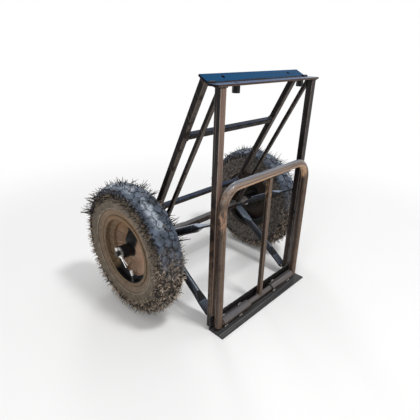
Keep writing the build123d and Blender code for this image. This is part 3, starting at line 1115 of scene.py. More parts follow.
@dataclass(frozen=True)
class HairFinish(Finish):
    """Moulding hairs: thin dark rubber, tan where dust clings and caked low down."""

    dark: Rgb = (0.012, 0.011, 0.011)
    dusty: Rgb = (0.340, 0.250, 0.180)
    caked: Rgb = (0.560, 0.450, 0.350)
    strands: Grit = Grit(85.0, 3.0)
    dusty_step: Step = Step(0.56, 0.68)
    caked_step: Step = Step(0.47, 0.54)
    clear_height: Step = Step(0.20, 0.30)
    shine: Polish = Polish(0.45, 0.75, level=0.25)

    def lay(self, shader: Shader) -> None:
        """Lay the hairs' dust out on a new material.

        Args:
            shader: The material.
        """
        here = shader.place()
        strands = shader.noise(here, self.strands)
        high = shader.ramp(strands, self.dusty_step, self.dark, self.dusty)
        low = shader.ramp(strands, self.caked_step, self.dark, self.caked)
        shader.colour(shader.blend(shader.band(shader.axes(here)[2], self.clear_height), low, high))
        shader.polish(strands, self.shine)


@dataclass(frozen=True)
class SteelFinish(Finish):
    """Zinc-grey or bare steel with turning marks and a little rust."""

    bright: Rgb = (0.560, 0.550, 0.530)
    dull: Rgb = (0.260, 0.250, 0.235)
    rust: Rgb = (0.120, 0.055, 0.025)
    rust_share: float = 0.30
    smooth: float = 0.22
    rough: float = 0.48
    metallic: float = 0.9
    turned: Point = (1.0, 0.12, 0.12)
    turning: Grit = Grit(900.0, 3.0)
    turning_step: Step = Step(0.36, 0.60)
    stains: Grit = Grit(60.0, 5.0, 0.65)
    stain_step: Step = Step(0.52, 0.70)
    relief: Relief = Relief(0.0001, 0.4)

    def lay(self, shader: Shader) -> None:
        """Lay the turned metal and its rust out on a new material.

        Args:
            shader: The material.
        """
        turning = shader.noise(shader.place(scale=self.turned), self.turning)
        stains = shader.noise(shader.place(), self.stains)
        metal = shader.ramp(turning, self.turning_step, self.dull, self.bright)
        rusty = shader.times(shader.band(stains, self.stain_step), self.rust_share)
        shader.colour(shader.blend(rusty, metal, self.rust))
        shader.polish(stains, Polish(self.smooth, self.rough))
        shader.set(Metallic=self.metallic)
        shader.bump(turning, self.relief)


@dataclass(frozen=True)
class PlasticFinish(Finish):
    """Moulded black plastic with a fine grain."""

    deep: Rgb = (0.014, 0.014, 0.015)
    light: Rgb = (0.034, 0.033, 0.032)
    pores: Grit = Grit(520.0, 3.0)
    patches: Grit = Grit(70.0)
    patch_step: Step = Step(0.35, 0.65)
    shine: Polish = Polish(0.42, 0.66)
    relief: Relief = Relief(0.0003, 0.5)

    def lay(self, shader: Shader) -> None:
        """Lay the plastic out on a new material.

        Args:
            shader: The material.
        """
        here = shader.place()
        patches = shader.noise(here, self.patches)
        shader.colour(shader.ramp(patches, self.patch_step, self.deep, self.light))
        shader.polish(patches, self.shine)
        shader.bump(shader.noise(here, self.pores), self.relief)


# Face tones: the tops below are painted sky reflection and the undersides painted ground reflection
FLANK_BLACK: Rgb = (0.012, 0.009, 0.009)
FRONT_BROWN: Rgb = (0.190, 0.125, 0.098)
SKY_REFLECTION_GREY: Rgb = (0.062, 0.085, 0.130)
GROUND_REFLECTION_BROWN: Rgb = (0.030, 0.020, 0.015)

LEFT_ENAMEL = EnamelFinish(
    "left_upright_enamel", FLANK_BLACK, FRONT_BROWN, SKY_REFLECTION_GREY, GROUND_REFLECTION_BROWN,
    dust_high=0.62, dust_share=0.85)
RIGHT_ENAMEL = EnamelFinish(
    "right_upright_enamel", FLANK_BLACK, (0.030, 0.024, 0.022), SKY_REFLECTION_GREY, GROUND_REFLECTION_BROWN,
    edge_share=0.35, gleam=0.12)
LEANING_ENAMEL = EnamelFinish(
    "leaning_enamel", FLANK_BLACK, (0.030, 0.021, 0.017), SKY_REFLECTION_GREY, GROUND_REFLECTION_BROWN,
    lean=FOLD_LEAN, edge_share=0.30, gleam=0.18, coat=0.05, level=0.05)
RUNG_ENAMEL = EnamelFinish(
    "rung_enamel", FLANK_BLACK, (0.008, 0.007, 0.009), (0.030, 0.052, 0.100), (0.012, 0.009, 0.009),
    grain=Grain.LEVEL, lean=FOLD_LEAN, coat=0.03, level=0.04, edge_share=0.10, gleam=0.05)
BEAM_ENAMEL = EnamelFinish(
    "beam_enamel", FLANK_BLACK, (0.026, 0.020, 0.019), (0.130, 0.132, 0.140), GROUND_REFLECTION_BROWN,
    grain=Grain.LEVEL)
TOE_ENAMEL = EnamelFinish(
    "toe_enamel", FLANK_BLACK, (0.012, 0.011, 0.012), (0.060, 0.061, 0.064), GROUND_REFLECTION_BROWN,
    edge=(0.300, 0.290, 0.285), grain=Grain.LEVEL, dust_share=0.05)
# The braces' pale blue top is a painted highlight along the crest
BRACE_ENAMEL = BraceEnamel(
    "brace_enamel", (0.018, 0.022, 0.030), (0.005, 0.005, 0.006), (0.300, 0.360, 0.455),
    (0.008, 0.007, 0.006), edge_share=0.0, streak=0.3, gleam=0.05, coat=0.22, coat_rough=0.18, level=0.05,
    ripple=0.10, dust_share=0.0, sky_reflection_up=Step(0.775, 0.825))
# On the nose loop the tan under-tone is a painted ground reflection
NOSE_ENAMEL = LoopEnamel(
    "nose_enamel", (0.034, 0.019, 0.012), (0.108, 0.062, 0.036), (0.150, 0.162, 0.195),
    (0.520, 0.310, 0.180), edge_share=0.12, streak=0.45, gleam=0.25, coat=0.5, coat_rough=0.24, level=0.03,
    ripple=0.12, sky_reflection_up=Step(0.60, 0.92), scuff=(-0.205, -0.226, 0.350))
BAR_ENAMEL = ScuffedEnamel(
    "nose_bar_enamel", (0.040, 0.026, 0.019), (0.125, 0.078, 0.050), (0.080, 0.085, 0.110), GROUND_REFLECTION_BROWN,
    edge_share=0.35, coat=0.25, level=0.06, scuff=(0.0, -0.220, 0.410), scuff_radius=0.070,
    scuff_tone=(0.300, 0.185, 0.100))
SLEEVE_ENAMEL = EnamelFinish(
    "sleeve_enamel", FLANK_BLACK, (0.045, 0.032, 0.027), (0.095, 0.098, 0.110), GROUND_REFLECTION_BROWN,
    grain=Grain.LEVEL, edge_share=0.1, coat=0.4, coat_rough=0.2, level=0.06)
TOP_ENAMEL = HingedEnamel(
    "top_plate_enamel", (0.012, 0.012, 0.014), (0.060, 0.040, 0.032), (0.062, 0.095, 0.185), GROUND_REFLECTION_BROWN,
    grain=Grain.LEVEL, edge_share=0.0, streak=0.45, gleam=0.15, coat=0.0, level=0.03)
FOLD_ENAMEL = HingedEnamel(
    "fold_plate_enamel", (0.010, 0.012, 0.016), (0.020, 0.020, 0.022), (0.003, 0.050, 0.128), GROUND_REFLECTION_BROWN,
    grain=Grain.LEVEL, edge_share=0.0, streak=0.20, gleam=0.0, coat=0.0, level=0.01)
# The weld beads' pale top is a painted highlight
WELD_ENAMEL = EnamelFinish(
    "weld_enamel", (0.024, 0.021, 0.020), (0.050, 0.044, 0.041), (0.150, 0.143, 0.140), GROUND_REFLECTION_BROWN,
    edge_share=0.0, streak=0.0, gleam=0.0, smooth=0.20, rough=0.45)
HUB_ENAMEL = EnamelFinish(
    "hub_enamel", (0.006, 0.006, 0.007), (0.007, 0.007, 0.008), (0.012, 0.012, 0.014), (0.008, 0.008, 0.008),
    edge_share=0.0, streak=0.0, gleam=0.0, dust_share=0.0)
DARK_STEEL = SteelFinish("axle_end_blackened", (0.060, 0.058, 0.056), (0.020, 0.019, 0.018))
WASHER_STEEL = SteelFinish(
    "zinc_washer", (0.800, 0.795, 0.780), (0.640, 0.635, 0.620), rust_share=0.04, smooth=0.18, rough=0.36)
BEARING_STEEL = SteelFinish("bearing_shield", (0.430, 0.420, 0.410), (0.240, 0.235, 0.230))
TACK_STEEL = SteelFinish("tack_weld_bare", (0.640, 0.620, 0.590), (0.300, 0.280, 0.260), rust_share=0.25)
CAP_PLASTIC = PlasticFinish("handle_cap_plastic")
HAIR_RUBBER = HairFinish("moulding_hair")


class Bench:
    """Hand tools for modelling one mesh at a time."""

    @staticmethod
    def clear() -> None:
        """Leave edit mode and deselect every object."""
        active = bpy.context.view_layer.objects.active
        if active is not None and active.mode != "OBJECT":
            bpy.ops.object.mode_set(mode="OBJECT")
        bpy.ops.object.select_all(action="DESELECT")

    @staticmethod
    def edit() -> None:
        """Enter edit mode with the whole mesh selected."""
        bpy.ops.object.mode_set(mode="EDIT")
        bpy.ops.mesh.select_all(action="SELECT")

    @staticmethod
    def named(name: str) -> bpy.types.Object:
        """Name the active object and its mesh.

        Args:
            name: The name.

        Returns:
            The object.
        """
        piece = bpy.context.object
        piece.name = name
        piece.data.name = name
        return piece

    @staticmethod
    def finish(name: str, angle: float = 40.0) -> bpy.types.Object:
        """Leave edit mode, apply the object's place, smooth its faces and name it.

        Args:
            name: The piece's name.
            angle: Edges sharper than this many degrees stay sharp.

        Returns:
            The finished object.
        """
        if bpy.context.object.mode != "OBJECT":
            bpy.ops.object.mode_set(mode="OBJECT")
        bpy.ops.object.transform_apply(location=True, rotation=True, scale=True)
        bpy.ops.object.shade_smooth_by_angle(angle=math.radians(angle))
        return Bench.named(name)

    @staticmethod
    def select_facing(direction: Vector, least: float) -> None:
        """Select only the faces of the mesh in edit mode that look one way.

        Args:
            direction: The unit vector to look along.
            least: The least share of a face's normal along it.
        """
        bpy.ops.mesh.select_mode(type="FACE")
        bpy.ops.mesh.select_all(action="DESELECT")
        work = bmesh.from_edit_mesh(bpy.context.object.data)
        for face in work.faces:
            if face.normal.dot(direction) > least:
                face.select_set(True)
        bmesh.update_edit_mesh(bpy.context.object.data)

    @staticmethod
    def lathe(name: str, profile: Profile, steps: int, angle: float) -> bpy.types.Object:
        """Draw an (x, radius) profile point by point and spin it about the X axis.

        Args:
            name: The piece's name.
            profile: Points of a closed section, the first repeated at the end.
            steps: Divisions of the full turn.
            angle: Edges sharper than this many degrees stay sharp.

        Returns:
            The ring, centred on the origin.
        """
        Bench.clear()
        bpy.ops.mesh.primitive_plane_add(size=MILLIMETRE)
        bpy.ops.object.mode_set(mode="EDIT")
        bpy.ops.mesh.select_mode(type="VERT")
        bpy.ops.mesh.select_all(action="SELECT")
        bpy.ops.mesh.merge(type="CENTER")
        bpy.ops.transform.translate(value=(profile[0][0], 0.0, profile[0][1]))
        for (x0, r0), (x1, r1) in zip(profile, profile[1:]):
            step = {"value": (x1 - x0, 0.0, r1 - r0)}
            bpy.ops.mesh.extrude_region_move(TRANSFORM_OT_translate=step)
        bpy.ops.mesh.select_all(action="SELECT")
        bpy.ops.mesh.spin(steps=steps, angle=FULL_TURN, center=ORIGIN, axis=X_AXIS)
        bpy.ops.mesh.select_all(action="SELECT")
        bpy.ops.mesh.remove_doubles(threshold=WELD_DISTANCE)
        bpy.ops.mesh.normals_make_consistent(inside=False)
        return Bench.finish(name, angle)

    @staticmethod
    def copies(name: str, template: bpy.types.Object, places: Iterable[Matrix]) -> bpy.types.Object:
        """Copy a template to each place, join the copies and drop the template.

        Args:
            name: The joined piece's name.
            template: The modelled shape.
            places: One matrix for each copy.

        Returns:
            The joined object.
        """
        made = []
        for place in places:
            mesh = template.data.copy()
            mesh.transform(place)
            item = bpy.data.objects.new(name, mesh)
            bpy.context.collection.objects.link(item)
            made.append(item)
        bpy.data.objects.remove(template)
        return Bench.join(name, made)

    @staticmethod
    def join(name: str, parts: Sequence[bpy.types.Object]) -> bpy.types.Object:
        """Join several objects into one piece.

        Args:
            name: The piece's name.
            parts: The objects.

        Returns:
            The joined object.
        """
        Bench.clear()
        for part in parts:
            part.select_set(True)
        bpy.context.view_layer.objects.active = parts[0]
        bpy.ops.object.join()
        return Bench.named(name)

    @staticmethod
    def dress(piece: bpy.types.Object, material: bpy.types.Material) -> None:
        """Give a piece one material."""
        piece.data.materials.clear()
        piece.data.materials.append(material)


@dataclass(frozen=True)
class Seam:
    """A run of weld between two points."""

    start: Point
    end: Point
    bead: float


def level_seam(ends: Span, y: float, z: float, bead: float) -> Seam:
    """Return a seam along X between two ends."""
    return Seam((ends.low, y, z), (ends.high, y, z), bead)


def square_seams(center: Vector, along: Vector, across: Vector, half: float, bead: float) -> list[Seam]:
    """Return the four seams round a square joint.

    Args:
        center: The middle of the square.
        along: Unit vector along one side.
        across: Unit vector along the other side.
        half: Half of a side.
        bead: Radius of the weld bead.

    Returns:
        Four seams.
    """
    corners = [center + along * half * a + across * half * b
               for a, b in ((-1, -1), (1, -1), (1, 1), (-1, 1))]
    return [Seam(tuple(corners[i]), tuple(corners[(i + 1) % 4]), bead) for i in range(4)]


def ring_seams(center: Vector, radius: float, bead: float, pieces: int = 18) -> list[Seam]:
    """Return the seams round a circular joint about the X direction.

    Args:
        center: The middle of the circle.
        radius: Its radius.
        bead: Radius of the weld bead.
        pieces: Straight runs that make up the circle.

    Returns:
        One seam for each run.
    """
    spots = []
    for index in range(pieces + 1):
        turn = FULL_TURN * index / pieces
        spots.append((center.x, center.y + radius * math.cos(turn), center.z + radius * math.sin(turn)))
    return [Seam(before, after, bead) for before, after in zip(spots, spots[1:])]


@dataclass
class WeldRun:
    """Weld beads of one body, laid as overlapping drops along their seams."""

    name: str
    body: Body
    seams: list[Seam]
    seed: int
    slot: Slot = Slot.FRAME
    overlap: float = 0.85
    drop_length: float = 0.9
    drop_push: float = 0.25
    drop_segments: int = 8
    drop_rings: int = 6
    drop_front: float = 0.5
    drop_smooth: float = 80.0
    stray: float = 0.15
    sizes: Span = Span(0.82, 1.12)

    def drop(self) -> bpy.types.Object:
        """Return one drop of unit radius, pushed forward along the seam.

        Returns:
            The drop.
        """
        Bench.clear()
        bpy.ops.mesh.primitive_uv_sphere_add(
            segments=self.drop_segments, ring_count=self.drop_rings, radius=1.0)
        Bench.edit()
        bpy.ops.transform.resize(value=(self.drop_length, 1.0, 1.0))
        Bench.select_facing(X_AXIS, self.drop_front)
        bpy.ops.transform.translate(value=(self.drop_push, 0.0, 0.0))
        return Bench.finish(self.name + "_drop", self.drop_smooth)

    def places(self) -> list[Matrix]:
        """Return a place for each drop along every seam.

        Returns:
            One matrix for each drop.
        """
        draw = random.Random(self.seed)
        found = []
        for seam in self.seams:
            run = Vector(seam.end) - Vector(seam.start)
            turn = run.to_track_quat("X", "Z").to_matrix().to_4x4()
            count = max(1, round(run.length / (seam.bead * self.overlap)))
            for index in range(count + 1):
                shift = Vector([draw.uniform(-self.stray, self.stray) * seam.bead for _ in range(3)])
                spot = Vector(seam.start) + run * (index / count) + shift
                size = seam.bead * draw.uniform(*self.sizes)
                found.append(Matrix.Translation(spot) @ turn @ Matrix.Diagonal((size, size, size, 1.0)))
        return found

    def build(self, material: bpy.types.Material) -> None:
        """Model the beads, dress them and let them ride on their body.

        Args:
            material: The beads' material.
        """
        piece = Bench.copies(self.name, self.drop(), self.places())
        Bench.dress(piece, material)
        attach(piece, self.body.value)
        LOG.info("%s: %d seams, %d faces", self.name, len(self.seams), len(piece.data.polygons))


@dataclass
class LowerFrame:
    """The standing frame: uprights, plate, toe, struts, braces and axle."""

    upright_side: float = 0.020
    strut_side: float = 0.012
    beam_side: float = 0.020
    brace_width: float = 0.034
    brace_round: float = 0.006
    tongue_half: float = 0.003
    bead: float = 0.0024
    stub_bead: float = 0.8
    plate_drop: float = 0.0005
    toe_inset: float = 0.001
    toe_rise: float = 0.004
    toe_short: float = 0.002
    strut_top_run: float = 0.020
    strut_foot_run: float = 0.014
    tack_length: float = 0.010
    tack_bead: float = 0.0026
    tack_offset: float = 0.006
    tack_sunk: float = 0.0012
    wall_tacks: tuple[float, ...] = (-0.160, -0.085, 0.092)
    floor_tacks: tuple[float, ...] = (-0.170, -0.103, 0.075, 0.160)
    weld_seed: int = 11
    tack_seed: int = 12

    def upright_seams(self, label: str) -> list[Seam]:
        """Return the seams of one upright at the top plate and the toe angle.

        Args:
            label: The side's name.

        Returns:
            The seams.
        """
        low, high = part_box(f"{label}_upright")
        middle = (low + high) / 2
        top = Vector((middle.x, middle.y, high.z - self.plate_drop))
        seams = square_seams(top, X_AXIS, Y_AXIS, self.upright_side / 2, self.bead)
        toe_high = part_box("toe_angle")[1]
        ends = Span(low.x + self.toe_inset, high.x - self.toe_inset)
        seams.append(level_seam(ends, low.y, toe_high.z, self.bead))
        for x in (low.x, high.x):
            seams.append(Seam((x, low.y, self.toe_rise), (x, low.y, toe_high.z - self.toe_short), self.bead))
        return seams

    def strut_seams(self, label: str) -> list[Seam]:
        """Return the seams at both ends of one strut.

        Args:
            label: The side's name.

        Returns:
            The seams.
        """
        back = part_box(f"{label}_upright")[1].y
        low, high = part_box(f"{label}_strut")
        middle = (low.x + high.x) / 2
        half = self.strut_side / 2
        seams = []
        for x in (middle - half, middle + half):
            seams.append(Seam((x, back, high.z - self.strut_top_run), (x, back, high.z), self.bead))
            seams.append(Seam((x, high.y - self.strut_foot_run, low.z), (x, high.y, low.z), self.bead))
        return seams

    def brace_seams(self, label: str) -> list[Seam]:
        """Return the seams above and below the flattened ends of one side's braces.

        Args:
            label: The side's name.

        Returns:
            The seams.
        """
        seams = []
        for brace in Brace:
            low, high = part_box(f"{label}_{brace.value}")
            middle = (low.x + high.x) / 2
            reach = self.brace_width / 2 - self.brace_round
            ends = Span(middle - reach, middle + reach)
            heights = [high.z - self.tongue_half, low.z + self.tongue_half]
            if brace is Brace.LOWER:
                heights.reverse()
            for y, z in zip((low.y, high.y), heights):
                seams.append(level_seam(ends, y, z + self.tongue_half, self.bead))
                seams.append(level_seam(ends, y, z - self.tongue_half, self.bead))
        return seams

    def axle_seams(self, side: Side) -> list[Seam]:
        """Return the seams of one axle sleeve and one rest stub on the axle beam.

        Args:
            side: The truck's side.

        Returns:
            The seams.
        """
        beam_low, beam_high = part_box("axle_beam")
        beam_end = beam_high.x if side is Side.RIGHT else beam_low.x
        middle = (beam_low + beam_high) / 2
        low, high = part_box(f"{side.label}_axle_sleeve")
        radius = min((high.z - low.z) / 2, self.beam_side / 2)
        seams = ring_seams(Vector((beam_end, middle.y, middle.z)), radius, self.bead)
        low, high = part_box(f"{side.label}_rest_stub")
        middle = (low + high) / 2
        root = Vector((middle.x, low.y, middle.z))
        half = (high.z - low.z) / 2
        return seams + square_seams(root, X_AXIS, Z_AXIS, half, self.stub_bead * self.bead)

    def side_seams(self, side: Side) -> list[Seam]:
        """Return the seams of one side's upright, strut, braces, axle sleeve and rest stub."""
        seams = self.upright_seams(side.label) + self.strut_seams(side.label)
        return seams + self.brace_seams(side.label) + self.axle_seams(side)

    def tack_seams(self) -> list[Seam]:
        """Return the short bare tacks that hold the nose sleeves on the toe angle.

        Returns:
            The seams.
        """
        low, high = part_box("right_nose_sleeve")
        middle_z = (low.z + high.z) / 2
        rows = ((self.wall_tacks, high.y - self.tack_sunk, middle_z + self.tack_offset),
                (self.floor_tacks, low.y + self.tack_offset, low.z + self.tack_sunk))
        half = self.tack_length / 2
        return [level_seam(Span(x - half, x + half), y, z, self.tack_bead) for row, y, z in rows for x in row]

    def build(self, nodes: Nodes) -> None:
        """Dress the frame's nodes and add its welds.

        Args:
            nodes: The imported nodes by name.
        """
        single = {"top_plate": TOP_ENAMEL, "toe_angle": TOE_ENAMEL, "axle_beam": BEAM_ENAMEL,
                  "left_upright": LEFT_ENAMEL, "right_upright": RIGHT_ENAMEL}
        paired = {
            LEANING_ENAMEL: ("strut",),
            BRACE_ENAMEL: tuple(brace.value for brace in Brace),
            BEAM_ENAMEL: ("axle_sleeve", "rest_stub"),
            SLEEVE_ENAMEL: ("nose_sleeve",),
            HUB_ENAMEL: ("weld_nut", "frame_knuckle", "hinge_pin"),
            DARK_STEEL: ("spindle",),
            WASHER_STEEL: ("washer", "split_pin"),
        }
        for name, finish in single.items():
            Bench.dress(nodes[name], finish.material())
        for finish, parts in paired.items():
            for name in (f"{side.label}_{part}" for side in Side for part in parts):
                Bench.dress(nodes[name], finish.material())
        seams = [seam for side in Side for seam in self.side_seams(side)]
        welds = WeldRun("lower_frame_welds", Body.LOWER_FRAME, seams, self.weld_seed)
        welds.build(WELD_ENAMEL.material())
        tacks = WeldRun("sleeve_tacks", Body.LOWER_FRAME, self.tack_seams(), self.tack_seed, Slot.STEEL)
        tacks.build(TACK_STEEL.material())


@dataclass
class UpperFrame:
    """The folding frame: rails, rungs, fold plate and handle caps."""

    rail_side: float = 0.018
    rung_side: float = 0.016
    rungs: tuple[str, ...] = ("upper_rung", "lower_rung")
    bead: float = 0.0022
    swing: float = 180.0 - FOLD_LEAN
    weld_seed: int = 21

    def seams(self) -> list[Seam]:
        """Return the seams at the rungs and at the feet of the rails.

        Returns:
            The seams.
        """
        lean = Matrix.Rotation(math.radians(-self.swing), 3, "X")
        depth, height = lean @ Y_AXIS, lean @ Z_AXIS
        found = []
        for name in self.rungs:
            low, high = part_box(name)
            middle = (low + high) / 2
            for x in (low.x, high.x):
                end = Vector((x, middle.y, middle.z))
                found += square_seams(end, depth, height, self.rung_side / 2, self.bead)
        for side in Side:
            low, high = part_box(f"{side.label}_rail")
            middle = (low + high) / 2
            reach = high.z - low.z - self.rail_side * abs(depth.z)
            foot = middle - height * (reach / abs(height.z) / 2)
            found += square_seams(foot, X_AXIS, depth, self.rail_side / 2, self.bead)
        return found

    def build(self, nodes: Nodes) -> None:
        """Dress the folding frame's nodes and add its welds.

        Args:
            nodes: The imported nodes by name.
        """
        paired = {"rail": LEANING_ENAMEL, "fold_knuckle": HUB_ENAMEL, "rail_cap": CAP_PLASTIC}
        for side in Side:
            for part, finish in paired.items():
                Bench.dress(nodes[f"{side.label}_{part}"], finish.material())
        for name in self.rungs:
            Bench.dress(nodes[name], RUNG_ENAMEL.material())
        Bench.dress(nodes["fold_plate"], FOLD_ENAMEL.material())
        welds = WeldRun("upper_frame_welds", Body.UPPER_FRAME, self.seams(), self.weld_seed)
        welds.build(WELD_ENAMEL.material())


@dataclass
class Nose:
    """The folding nose: bent tube loop, centre bar and hinge rod."""

    bar_side: float = 0.014
    tube_radius: float = 0.012
    rod_radius: float = 0.009
    bead: float = 0.0018
    rod_bead: float = 0.7
    sunk: float = 0.002
    weld_seed: int = 31

    def seams(self) -> list[Seam]:
        """Return the seams at the ends of the bar and of the rod.

        Returns:
            The seams.
        """
        half = self.bar_side / 2
        bar_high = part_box("nose_bar")[1]
        loop_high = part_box("nose_loop")[1]
        rod_low, rod_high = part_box("nose_rod")
        middle = (rod_low + rod_high) / 2
        top = Vector((0.0, bar_high.y - half, loop_high.z - 2 * self.tube_radius + self.sunk))
        foot = Vector((0.0, middle.y, rod_high.z - self.sunk))
        found = []
        for end in (top, foot):
            found += square_seams(end, X_AXIS, Y_AXIS, half, self.bead)
        for x in (rod_low.x + self.sunk, rod_high.x - self.sunk):
            end = Vector((x, middle.y, middle.z))
            found += ring_seams(end, self.rod_radius, self.rod_bead * self.bead)
        return found

    def build(self, nodes: Nodes) -> None:
        """Dress the nose's nodes and add its welds.

        Args:
            nodes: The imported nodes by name.
        """
        finishes = {"nose_loop": NOSE_ENAMEL, "nose_bar": BAR_ENAMEL, "nose_rod": SLEEVE_ENAMEL}
        for name, finish in finishes.items():
            Bench.dress(nodes[name], finish.material())
        WeldRun("nose_welds", Body.NOSE, self.seams(), self.weld_seed).build(WELD_ENAMEL.material())


def circle_through(first: tuple[float, float], second: tuple[float, float],
                   third: tuple[float, float]) -> tuple[float, float, float]:
    """Return the centre and radius of the circle through three points.

    Args:
        first: A point in the plane.
        second: Another point.
        third: Another point.

    Returns:
        The centre's two coordinates and the radius.
    """
    (ax, ay), (bx, by), (cx, cy) = first, second, third
    double = 2.0 * (ax * (by - cy) + bx * (cy - ay) + cx * (ay - by))
    a2, b2, c2 = ax * ax + ay * ay, bx * bx + by * by, cx * cx + cy * cy
    x = (a2 * (by - cy) + b2 * (cy - ay) + c2 * (ay - by)) / double
    y = (a2 * (cx - bx) + b2 * (ax - cx) + c2 * (bx - ax)) / double
    return x, y, math.hypot(ax - x, ay - y)


class Foothold(NamedTuple):
    """A spot on a tyre's section: its x, its radius and its tilt from the wheel's radius, in radians."""

    x: float
    radius: float
    tilt: float


@dataclass(frozen=True)
class TyreSection:
    """The section of a tyre: a round crown, two round walls and the beads on the rim."""

    radius: float
    half_width: float = 0.042
    bulge_depth: float = 0.053
    shoulder_half_width: float = 0.034
    shoulder_drop: float = 0.012
    toe_half_width: float = 0.0185
    bead_radius: float = 0.1017
    bead_half_width: float = 0.0304
    bead_height: float = 0.008
    lip_radius: float = 0.114
    rib_radius: float = 0.1130
    rib_half_width: float = 0.0335
    rib_height: float = 0.0025
    groove_shade_depth: float = 0.0048
    row_spacing: float = 0.0185
    ring_radii: tuple[float, ...] = (0.132, 0.159)
    ring_height: float = 0.0009
    ring_half_width: float = 0.0012
    wall_sunk: float = 0.0006
    lugs_from: float = 0.72
    lugs_sunk: float = 0.0022
    wall_steps: int = 26
    wall_start: int = 2
    crown_steps: int = 10

    @property
    def crown_radius(self) -> float:
        """Return the radius of the crown's arc."""
        return (self.shoulder_half_width ** 2 + self.shoulder_drop ** 2) / (2 * self.shoulder_drop)

    @property
    def shoulder_radius(self) -> float:
        """Return the distance of the shoulder from the axle."""
        return self.radius - self.shoulder_drop

    def crown_point(self, along: float, lift: float) -> Foothold:
        """Return a spot on the crown at an arc length from its middle.

        Args:
            along: Arc length across the tread.
            lift: Height above the crown.

        Returns:
            The spot.
        """
        tilt = along / self.crown_radius
        x = (self.crown_radius + lift) * math.sin(tilt)
        radius = self.radius - self.crown_radius + (self.crown_radius + lift) * math.cos(tilt)
        return Foothold(x, radius, tilt)

    def wall_point(self, share: float, lift: float) -> Foothold:
        """Return a spot on the outer sidewall.

        Args:
            share: 0 at the lip and 1 at the shoulder.
            lift: Height above the wall.

        Returns:
            The spot.
        """
        lip = (self.bead_half_width, self.lip_radius)
        bulge = (self.half_width, self.radius - self.bulge_depth)
        shoulder = (self.shoulder_half_width, self.shoulder_radius)
        middle_x, middle_r, round_radius = circle_through(lip, bulge, shoulder)
        start = math.atan2(self.lip_radius - middle_r, self.bead_half_width - middle_x)
        end = math.atan2(self.shoulder_radius - middle_r, self.shoulder_half_width - middle_x)
        turn = start + (end - start) * share
        reach = round_radius + lift
        x, radius = middle_x + reach * math.cos(turn), middle_r + reach * math.sin(turn)
        return Foothold(x, radius, math.pi / 2 - turn)

    def wall_lift(self, share: float) -> float:
        """Return the height of the moulded wall: its rings, its plain face or its seat for the lugs.

        Args:
            share: 0 at the lip and 1 at the shoulder.

        Returns:
            The height above the wall's arc.
        """
        if share > self.lugs_from:
            return -self.lugs_sunk
        radius = self.wall_point(share, 0.0).radius
        near = min(abs(radius - ring) for ring in self.ring_radii)
        return self.ring_height if near < self.ring_half_width else -self.wall_sunk

    def outline(self) -> Profile:
        """Return the closed outline of the carcass below the blocks.

        Returns:
            Points of x and radius, the first repeated at the end.
        """
        right: Profile = [(self.toe_half_width, self.bead_radius), (self.bead_half_width, self.bead_radius),
                          (self.bead_half_width, self.rib_radius), (self.rib_half_width, self.rib_radius),
                          (self.rib_half_width, self.rib_radius + self.rib_height)]
        for index in range(self.wall_start, self.wall_steps + 1):
            share = index / self.wall_steps
            right.append(self.wall_point(share, self.wall_lift(share))[:2])
        reach = self.crown_radius * math.asin(self.shoulder_half_width / self.crown_radius)
        for index in range(1, self.crown_steps):
            along = reach * (1 - index / self.crown_steps)
            right.append(self.crown_point(along, -self.groove_shade_depth)[:2])
        left = [(-x, radius) for x, radius in reversed(right)]
        crown = [(0.0, self.radius - self.groove_shade_depth)]
        bead_top = self.bead_radius + self.bead_height
        inner = [(-self.toe_half_width, bead_top), (self.toe_half_width, bead_top)]
        return right + crown + left + inner + [right[0]]


@dataclass(frozen=True)
class HairZone(ABC):
    """The moulding hairs of one zone of a tyre, on its outer side (1) or its inner side (-1)."""

    count: int
    lengths: Span
    sunk: float
    sign: int = 1
    sway: float = 0.30

    def turn(self, draw: random.Random, free: float) -> float:
        """Return a hair's angle round the axle, here the freely drawn one."""
        return free

    @abstractmethod
    def root(self, tyre: TyreSection, draw: random.Random) -> Foothold:
        """Return the spot that a hair grows from."""

    def length(self, draw: random.Random, turn: float) -> float:
        """Return a hair's length."""
        return draw.uniform(*self.lengths)


@dataclass(frozen=True)
class WallHairs(HairZone):
    """Hairs of a sidewall, between two shares of its height."""

    shares: Span = Span(0.55, 0.82)

    def root(self, tyre: TyreSection, draw: random.Random) -> Foothold:
        """Return a spot on the sidewall."""
        return tyre.wall_point(draw.uniform(*self.shares), -self.sunk)


@dataclass(frozen=True)
class ShoulderHairs(WallHairs):
    """Hairs of a shoulder, some of them long on the upper part of the wheel."""

    shares: Span = Span(0.78, 1.0)
    long_lengths: Span = Span(0.022, 0.036)
    long_share: float = 0.5
    long_from: float = 0.35

    def length(self, draw: random.Random, turn: float) -> float:
        """Return a hair's length.

        Args:
            draw: The source of random numbers.
            turn: The hair's angle from the wheel's top.

        Returns:
            The length.
        """
        length = super().length(draw, turn)
        if math.cos(turn) > self.long_from and draw.random() < self.long_share:
            length = draw.uniform(*self.long_lengths)
        return length


@dataclass(frozen=True)
class TreadHairs(HairZone):
    """Hairs of the tread, along its rows."""

    rows: tuple[float, ...] = (-1.0, 0.0, 1.0)
    stray: float = 0.003

    def root(self, tyre: TyreSection, draw: random.Random) -> Foothold:
        """Return a spot near the middle of a row."""
        along = draw.choice(self.rows) * tyre.row_spacing + draw.gauss(0.0, self.stray)
        return tyre.crown_point(along, -self.sunk)


@dataclass(frozen=True)
class LowHairs(HairZone):
    """Caked hairs all over the lower part of the tread."""

    spread: float = math.radians(52.0)
    rows: float = 1.9

    def turn(self, draw: random.Random, free: float) -> float:
        """Return a hair's angle round the axle, near the floor in place of the free one."""
        return math.pi + draw.gauss(0.0, self.spread)

    def root(self, tyre: TyreSection, draw: random.Random) -> Foothold:
        """Return a spot anywhere across the tread."""
        return tyre.crown_point(draw.uniform(-1.0, 1.0) * self.rows * tyre.row_spacing, -self.sunk)


